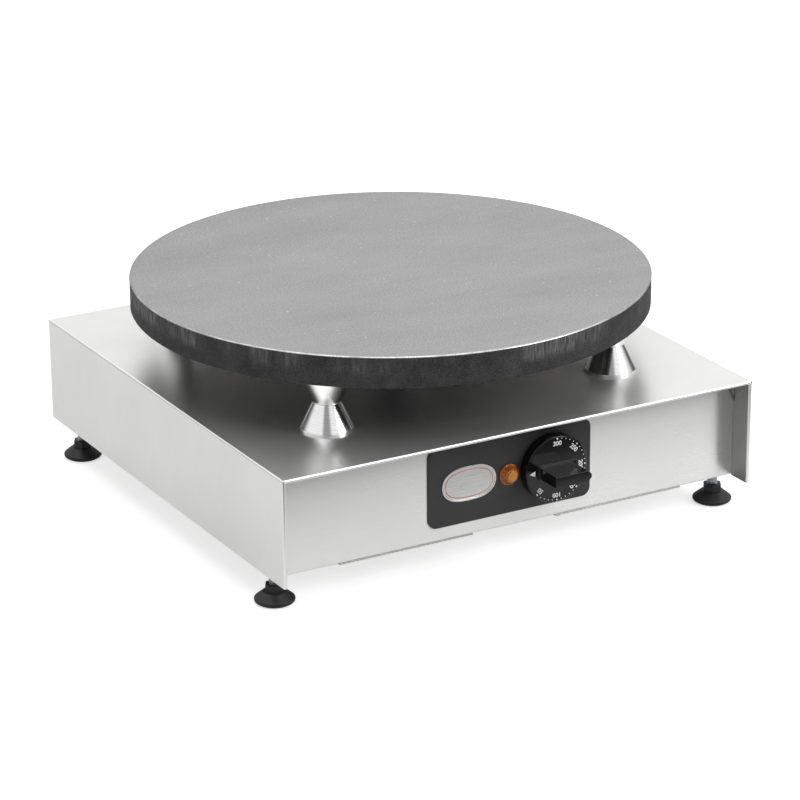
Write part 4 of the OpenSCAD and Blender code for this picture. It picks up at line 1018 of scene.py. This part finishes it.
@dataclass
class Controls:
    """The fascia with its trim plate, pilot lamp and thermostat knob.

    Attributes:
        height: height of the row of controls.
        fascia_y: the fascia's front face.
        knob_x: sideways place of the knob.
        lamp_x: sideways place of the lamp.
        lamp_disc: radius within which the lamp's front is frosted.
        trim_x: sideways place of the trim plate.
        trim_size: the trim plate's width, height and depth.
        trim_insets: width and depth in millimetres of the trim's border, its step down, the
            margin and the enamel line.
        knob_face: the knob's front face.
        numbers: the numbers on the knob.
        number_size: height of their line.
        first_turn: where the first number stands, in degrees from X.
        turn_step: the turn from one number to the next, in degrees.
        dots_each: how many dots there are from one number to the next.
        dot_radii: radius of a number's dot, and of the dots between.
        dot_reach: distance of the dots from the knob's axis.
        number_reach: distance of the numbers' middles from it.
        pointer_reach: distance of the pointer's middle from it.
        ink: half the depth of the print.
    """

    height: float = 66.2 * MM
    fascia_y: float = -180.5 * MM
    knob_x: float = 32.9 * MM
    lamp_x: float = -2.8 * MM
    lamp_disc: float = 3.8 * MM
    trim_x: float = -36.8 * MM
    trim_size: tuple[float, float, float] = (45.8 * MM, 26.8 * MM, 0.8 * MM)
    trim_insets: Sequence[tuple[float, float]] = ((1.1, 0), (0.25, -0.35), (1.3, 0), (0.5, 0))
    knob_face: float = -190.5 * MM
    numbers: Sequence[int] = (50, 100, 150, 200, 250, 300)
    number_size: float = 4.9 * MM
    first_turn: float = 225.0
    turn_step: float = 45.0
    dots_each: int = 5
    dot_radii: tuple[float, float] = (0.7 * MM, 0.42 * MM)
    dot_reach: float = 24.1 * MM
    number_reach: float = 20.3 * MM
    pointer_reach: float = 20.4 * MM
    ink: float = 0.03 * MM

    def build(self) -> None:
        """Makes the fascia, the trim plate, the lamp, the knob and the knob's print."""
        Refined("control_fascia", "fascia_panel", DYED_FASCIA, 0.3).build()
        self.trim()
        self.lamp()
        Refined("control_knob", "phenolic", BLACK_PHENOLIC, 0.3, "knob").build()
        self.dial_print()

    def facing(self, x: float, y: float) -> Matrix:
        """The place where local X and Y lie in the fascia's plane and local Z looks forwards."""
        return Matrix.Translation((x, y, self.height)) @ Matrix.Rotation(math.pi / 2, 4, "X")

    @staticmethod
    def oval(width: float, height: float, depth: float) -> Mesh:
        """A thin oval plate with arched long sides, its back on Z = 0.

        Args:
            width: its size along X.
            height: its size along Y.
            depth: its thickness.

        Returns:
            The plate's mesh.
        """
        bm = bmesh.new()
        bmesh.ops.create_circle(bm, cap_ends=True, segments=96, radius=1)
        # powers under 1 fill the ellipse out towards its corners
        for vert in bm.verts:
            turn = math.atan2(vert.co.y, vert.co.x)
            vert.co.x = math.copysign(abs(math.cos(turn)) ** 0.72, math.cos(turn)) * width / 2
            vert.co.y = math.copysign(abs(math.sin(turn)) ** 0.92, math.sin(turn)) * height / 2
        raise_faces(bm, bm.faces[:], depth)
        bmesh.ops.recalc_face_normals(bm, faces=bm.faces)
        return bm

    def trim(self) -> None:
        """Makes a satin oval with a raised border and an enamel line."""
        bm = self.oval(*self.trim_size)
        front = max(bm.faces, key=lambda f: f.calc_center_median().z)
        # after the last inset, its ring is the line and front is the field within
        for width, depth in self.trim_insets:
            line = bmesh.ops.inset_region(
                bm, faces=[front], thickness=width * MM, depth=depth * MM)["faces"]
        for face in line:
            face.material_index = 1
        raise_faces(bm, [front], 0.12 * MM)
        bmesh.ops.delete(bm, geom=[front] if front.is_valid else [], context="FACES_ONLY")
        break_edges(bm, 0.08 * MM, 40)
        bmesh.ops.transform(bm, matrix=self.facing(self.trim_x, self.fascia_y), verts=bm.verts)
        lay_grain(bm)
        piece(bm, "trim_plate_finished", "root", [SATIN_TRIM, RED_ENAMEL],
              ["badge_plate"])

    def lamp(self) -> None:
        """Makes the faceted amber lens with broken edges and a frosted front."""
        bm = cad_copy("pilot_lens")
        low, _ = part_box("pilot_lens")
        middle = Vector((self.lamp_x, low.y, self.height))
        front = [f for f in bm.faces if (f.calc_center_median() - middle).length < 0.2 * MM]
        bmesh.ops.inset_region(bm, faces=front, thickness=0.5 * MM, depth=-0.15 * MM)
        for face in bm.faces:
            if (face.calc_center_median() - middle).length < self.lamp_disc:
                face.material_index = 1
        break_edges(bm, 0.15 * MM, 20, 1)
        lay_grain(bm)
        lens = piece(bm, "pilot_lens_finished", "root", [AMBER_LENS, AMBER_DISC],
                     ["pilot_lens"])
        lens.data.polygons.foreach_set("use_smooth", [False] * len(lens.data.polygons))

    def number(self, value: int) -> Mesh:
        """Draws a number as thin raised print, centred on the origin and a little bold.

        Args:
            value: the number.

        Returns:
            The print's mesh.
        """
        curve = bpy.data.curves.new(f"digits_{value}", "FONT")
        curve.body, curve.size, curve.extrude = str(value), self.number_size, self.ink
        curve.align_x, curve.align_y = "CENTER", "CENTER"
        curve.resolution_u, curve.offset = 4, self.number_size * 0.03
        holder = bpy.data.objects.new("digits", curve)
        bpy.context.scene.collection.objects.link(holder)
        bpy.context.view_layer.update()
        made = bpy.data.meshes.new_from_object(
            holder.evaluated_get(bpy.context.evaluated_depsgraph_get()))
        bm = bmesh.new()
        bm.from_mesh(made)
        bpy.data.objects.remove(holder)
        bpy.data.curves.remove(curve)
        bpy.data.meshes.remove(made)
        bmesh.ops.remove_doubles(bm, verts=bm.verts, dist=1e-8)
        return bm

    def disc(self, radius: float, sides: int = 14) -> Mesh:
        """Draws a printed dot or other even shape on the origin.

        Args:
            radius: distance of its corners.
            sides: how many sides it has.

        Returns:
            The print's mesh.
        """
        bm = bmesh.new()
        bmesh.ops.create_cone(bm, cap_ends=True, segments=sides, radius1=radius, radius2=radius,
                              depth=2 * self.ink)
        return bm

    def pointer(self) -> Mesh:
        """Draws the triangle that points away from the knob's axis.

        Returns:
            The print's mesh.
        """
        bm = self.disc(3 * MM, 3)
        tip = max(bm.verts, key=lambda v: v.co.y).co
        aim = Matrix.Rotation(math.pi - math.atan2(tip.y, tip.x), 4, "Z")
        squeeze = Matrix.Diagonal((1, 0.85, 1, 1))
        bmesh.ops.transform(bm, matrix=squeeze @ aim, verts=bm.verts)
        bmesh.ops.translate(bm, vec=(-self.pointer_reach, 0, 0), verts=bm.verts)
        return bm

    def dial_print(self) -> None:
        """Prints the numbers, the dots of the scale and the pointer on the knob's face."""
        parts = []
        for i, value in enumerate(self.numbers):
            turn = math.radians(self.first_turn + self.turn_step * i)
            out = Vector((math.cos(turn), math.sin(turn), 0))
            digits = self.number(value)
            upright = Matrix.Rotation(turn - math.pi / 2, 4, "Z")
            bmesh.ops.transform(digits, verts=digits.verts,
                                matrix=Matrix.Translation(out * self.number_reach) @ upright)
            parts.append(digits)
            for k in range(self.dots_each if i + 1 < len(self.numbers) else 1):
                turn = math.radians(self.first_turn + self.turn_step * (i + k / self.dots_each))
                dot = self.disc(self.dot_radii[1 if k else 0])
                bmesh.ops.translate(dot, verts=dot.verts, vec=(
                    self.dot_reach * math.cos(turn), self.dot_reach * math.sin(turn), 0))
                parts.append(dot)
        parts.append(self.pointer())
        whole = joined(parts)
        bmesh.ops.transform(whole, matrix=self.facing(self.knob_x, self.knob_face),
                            verts=whole.verts)
        piece(whole, "dial_print", "knob", [WHITE_INK])


@dataclass
class Fittings:
    """The small parts of the underside, the middle and the rear.

    Attributes:
        parts: each part's CAD node, slot, finish and edges.
    """

    parts: Sequence[Refined] = (
        Refined("bottom_screws", "zinc_steel", ZINC_PLATED, 0.1),
        Refined("foot_inserts", "zinc_steel", ZINC_PLATED, 0.1),
        # the underpan's dark tone is partly painted shade under the griddle
        Refined("underpan", "zinc_steel", HEATED_SHEET, 0.2),
        Refined("underpan_screws", "zinc_steel", ZINC_PLATED, 0.1),
        Refined("lead_conduit", "zinc_steel", ALUMINISED_SHEET, 0.2),
        Refined("limiter_nut", "zinc_steel", ZINC_PLATED),
        Refined("reset_button", "red_plastic", RED_NYLON, body="reset_button"),
        Refined("gland_body", "black_plastic", BLACK_NYLON, 0.3),
        Refined("gland_cap", "black_plastic", BLACK_NYLON, 0.3),
        Refined("gland_seal", "rubber", SEAL_RUBBER, 0.2),
    )

    def build(self) -> None:
        """Makes each part from its CAD node."""
        for part in self.parts:
            part.build()


@dataclass
class Interior:
    """What lies inside the base and under the griddle: CAD meshes with the right finish.

    Attributes:
        finishes: each finish and the CAD nodes that have it.
    """

    finishes: Sequence[tuple[Finish, Sequence[str]]] = (
        (PICKLED_STEEL, ("support_rails",)),
        (ZINC_PLATED, ("tie_studs", "tie_nuts", "tie_washers", "element_clamps", "clamp_screws",
                       "bulb_clip", "pilot_clip", "thermostat_bracket", "thermostat_screws",
                       "thermostat_shaft", "earth_stud")),
        (OXIDISED_SHEATH, ("heating_elements",)),
        (STEATITE, ("element_terminals", "terminal_block")),
        (MINERAL_WOOL, ("insulation",)),
        (SEAL_RUBBER, ("conduit_bushing",)),
        (DRAWN_COPPER, ("sensor_bulb", "capillary")),
        (BLACK_NYLON, ("pilot_body", "gland_locknut")),
        (BLACK_PHENOLIC, ("thermostat_body", "limiter_body")),
        (TURNED_BRASS, ("terminal_screws",)),
    )

    def build(self, nodes: dict[str, bpy.types.Object]) -> None:
        """Gives each node its material.

        Args:
            nodes: the frame's CAD objects by name.
        """
        for finish, names in self.finishes:
            for name in names:
                for slot in nodes[name].material_slots:
                    slot.material = finish.material()
                log.info("%s: %s", name, finish.name)


# ---- studio ----


@dataclass
class Studio:
    """A pale floor, a white surround and soft light, seen from the front left.

    Attributes:
        camera_at: the camera's place.
        camera_turn: the camera's turn, in degrees.
        lens_mm: its focal length on a 36 mm sensor.
        boxes: each soft box's name, place, side and power in watts.
        lit_point: the point that they face.
        room: how bright the surround is for diffuse light; reflections see it at 1.
        floor_lift: what is added to the floor for the camera, which makes it white.
        floor_mirror: what is added to the floor in reflections.
        dark_y: where the floor in front turns dark in reflections, from fully to not at all.
        flag: how bright the surround behind the camera is in reflections.
        skirt: how bright the lowest part of the surround is in reflections.
        skirt_top: between which heights of its direction the skirt ends.
    """

    camera_at: tuple[float, float, float] = (-1.22777, -2.19218, 1.01147)
    camera_turn: tuple[float, float, float] = (69.36203, 0.36131, -29.54039)
    lens_mm: float = 155.245
    boxes: Sequence[tuple[str, tuple[float, float, float], float, float]] = (
        ("overhead_light", (0.0, 0.1, 2.4), 2.4, 22), ("right_light", (1.25, -1.6, 1.3), 1.0, 17))
    lit_point: tuple[float, float, float] = (0, 0, 0.1)
    room: float = 0.42
    floor_lift: float = 0.64
    floor_mirror: float = 0.14
    dark_y: tuple[float, float] = (-0.368, -0.345)
    flag: float = 0.35
    skirt: float = 0.12
    skirt_top: tuple[float, float] = (0.13, 0.31)

    def build(self) -> None:
        """Makes the camera, the floor, the lamps and the surround."""
        self.camera()
        self.floor()
        for box in self.boxes:
            self.soft_light(*box)
        self.surround()
        bpy.context.scene.view_settings.view_transform = "Standard"

    def camera(self) -> None:
        """Makes the camera."""
        data = bpy.data.cameras.new("camera")
        data.lens, data.sensor_width, data.sensor_fit = self.lens_mm, 36, "HORIZONTAL"
        made = bpy.data.objects.new("camera", data)
        made.location = self.camera_at
        made.rotation_euler = [math.radians(a) for a in self.camera_turn]
        bpy.context.scene.collection.objects.link(made)
        bpy.context.scene.camera = made

    def soft_light(self, name: str, at: Sequence[float], size: float, power: float) -> None:
        """Adds a square soft box that faces the object.

        Args:
            name: its name.
            at: its place.
            size: its side.
            power: its power in watts.
        """
        data = bpy.data.lights.new(name, "AREA")
        data.size, data.energy = size, power
        made = bpy.data.objects.new(name, data)
        made.location = at
        aim = Vector(self.lit_point) - Vector(at)
        made.rotation_euler = aim.to_track_quat("-Z", "Y").to_euler()
        bpy.context.scene.collection.objects.link(made)

    def shown_rays(self, tree: Tree) -> Node:
        """Tells what the camera, a reflection or a clear body sees from what only lights.

        Args:
            tree: the tree that asks.

        Returns:
            A value of 1 for such rays, else 0.
        """
        path = add_node(tree, "LightPath").outputs
        seen = path["Is Camera Ray"]
        for name in ("Is Glossy Ray", "Is Transmission Ray"):
            seen = add_node(tree, "Math", {0: seen, 1: path[name]}, operation="MAXIMUM")
        return seen

    def floor(self) -> None:
        """Lays a white table top that keeps the object's shadow."""
        bm = bmesh.new()
        bmesh.ops.create_grid(bm, x_segments=2, y_segments=2, size=6)
        mesh = bpy.data.meshes.new("floor")
        bm.to_mesh(mesh)
        bm.free()
        mesh.materials.append(self.paper())
        floor = bpy.data.objects.new("floor", mesh)
        bpy.context.scene.collection.objects.link(floor)

    def paper(self) -> bpy.types.Material:
        """Makes the floor's matt white, which is brighter to the eye than to the object.

        Returns:
            The material.
        """
        made = bpy.data.materials.new("paper_white_matt")
        made.use_nodes = True
        tree = made.node_tree
        tree.nodes.clear()
        fibres = add_node(tree, "ValToRGB", {"Fac": mottle(tree, 30.0, detail=3.0)},
                          stops=[(0.3, "#e4e4e4"), (0.7, "#ececec")])
        mirrored = add_node(tree, "LightPath").outputs["Is Glossy Ray"]
        place = add_node(tree, "SeparateXYZ", {
            0: add_node(tree, "TexCoord").outputs["Object"]}).outputs
        front = add_node(tree, "MapRange", {"Value": place["Y"]},
                         interpolation_type="SMOOTHSTEP", ends=(*self.dark_y, 0.9, 0.0))
        dark = add_node(tree, "Math", {0: front, 1: mirrored}, operation="MULTIPLY")
        colour = add_node(tree, "Mix", {0: dark, 6: fibres, 7: (0, 0, 0, 1)},
                          data_type="RGBA")
        matt = add_node(tree, "BsdfDiffuse", {"Color": colour})
        lift = add_node(tree, "Mix", {
            0: mirrored, 2: self.floor_lift, 3: self.floor_mirror}, data_type="FLOAT")
        glow = add_node(tree, "Math", {0: 1.0, 1: dark}, operation="SUBTRACT")
        for factor in (lift, self.shown_rays(tree)):
            glow = add_node(tree, "Math", {0: glow, 1: factor}, operation="MULTIPLY")
        light = add_node(tree, "Emission", {"Color": (1, 1, 1, 1), "Strength": glow})
        both = add_node(tree, "AddShader", {0: matt, 1: light})
        add_node(tree, "OutputMaterial", {"Surface": both})
        return made

    def surround(self) -> None:
        """A white surround, a little dimmer for diffuse light, with a dark flag at the front."""
        world = bpy.data.worlds.new("studio")
        bpy.context.scene.world = world
        world.use_nodes = True
        tree = world.node_tree
        tree.nodes.clear()
        towards = add_node(tree, "TexCoord").outputs["Generated"]
        ahead = Vector((self.camera_at[0], self.camera_at[1], 0)).normalized()
        flat = add_node(tree, "VectorMath", {0: towards, 1: (1, 1, 0)}, operation="MULTIPLY")
        unit = add_node(tree, "VectorMath", {0: flat}, operation="NORMALIZE")
        facing = add_node(tree, "VectorMath", {0: unit, 1: tuple(ahead)},
                          operation="DOT_PRODUCT")
        flag = add_node(tree, "MapRange", {"Value": facing}, interpolation_type="SMOOTHSTEP",
                        ends=(0.9, 0.99, 1.0, self.flag))
        height = add_node(tree, "SeparateXYZ", {0: towards}).outputs["Z"]
        skirt = add_node(tree, "MapRange", {"Value": height}, interpolation_type="SMOOTHSTEP",
                         ends=(*self.skirt_top, self.skirt, 1.0))
        dimmed = add_node(tree, "Math", {0: flag, 1: skirt}, operation="MULTIPLY")
        mirrored = add_node(tree, "LightPath").outputs["Is Glossy Ray"]
        glossy = add_node(tree, "Mix", {0: mirrored, 2: 1.0, 3: dimmed}, data_type="FLOAT")
        level = add_node(tree, "Mix", {0: self.shown_rays(tree), 2: self.room, 3: glossy},
                         data_type="FLOAT")
        light = add_node(tree, "Background", {"Color": (1, 1, 1, 1), "Strength": level})
        add_node(tree, "OutputWorld", {"Surface": light})


def main() -> None:
    """Builds the object round its frame."""
    logging.basicConfig(level=logging.INFO, format="%(name)s: %(message)s")
    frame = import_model()
    Studio().build()
    Griddle().build()
    Spacers().build()
    SheetBase().build()
    Feet().build()
    Controls().build()
    Fittings().build()
    Interior().build(frame["nodes"])


if __name__ == "__main__":
    main()
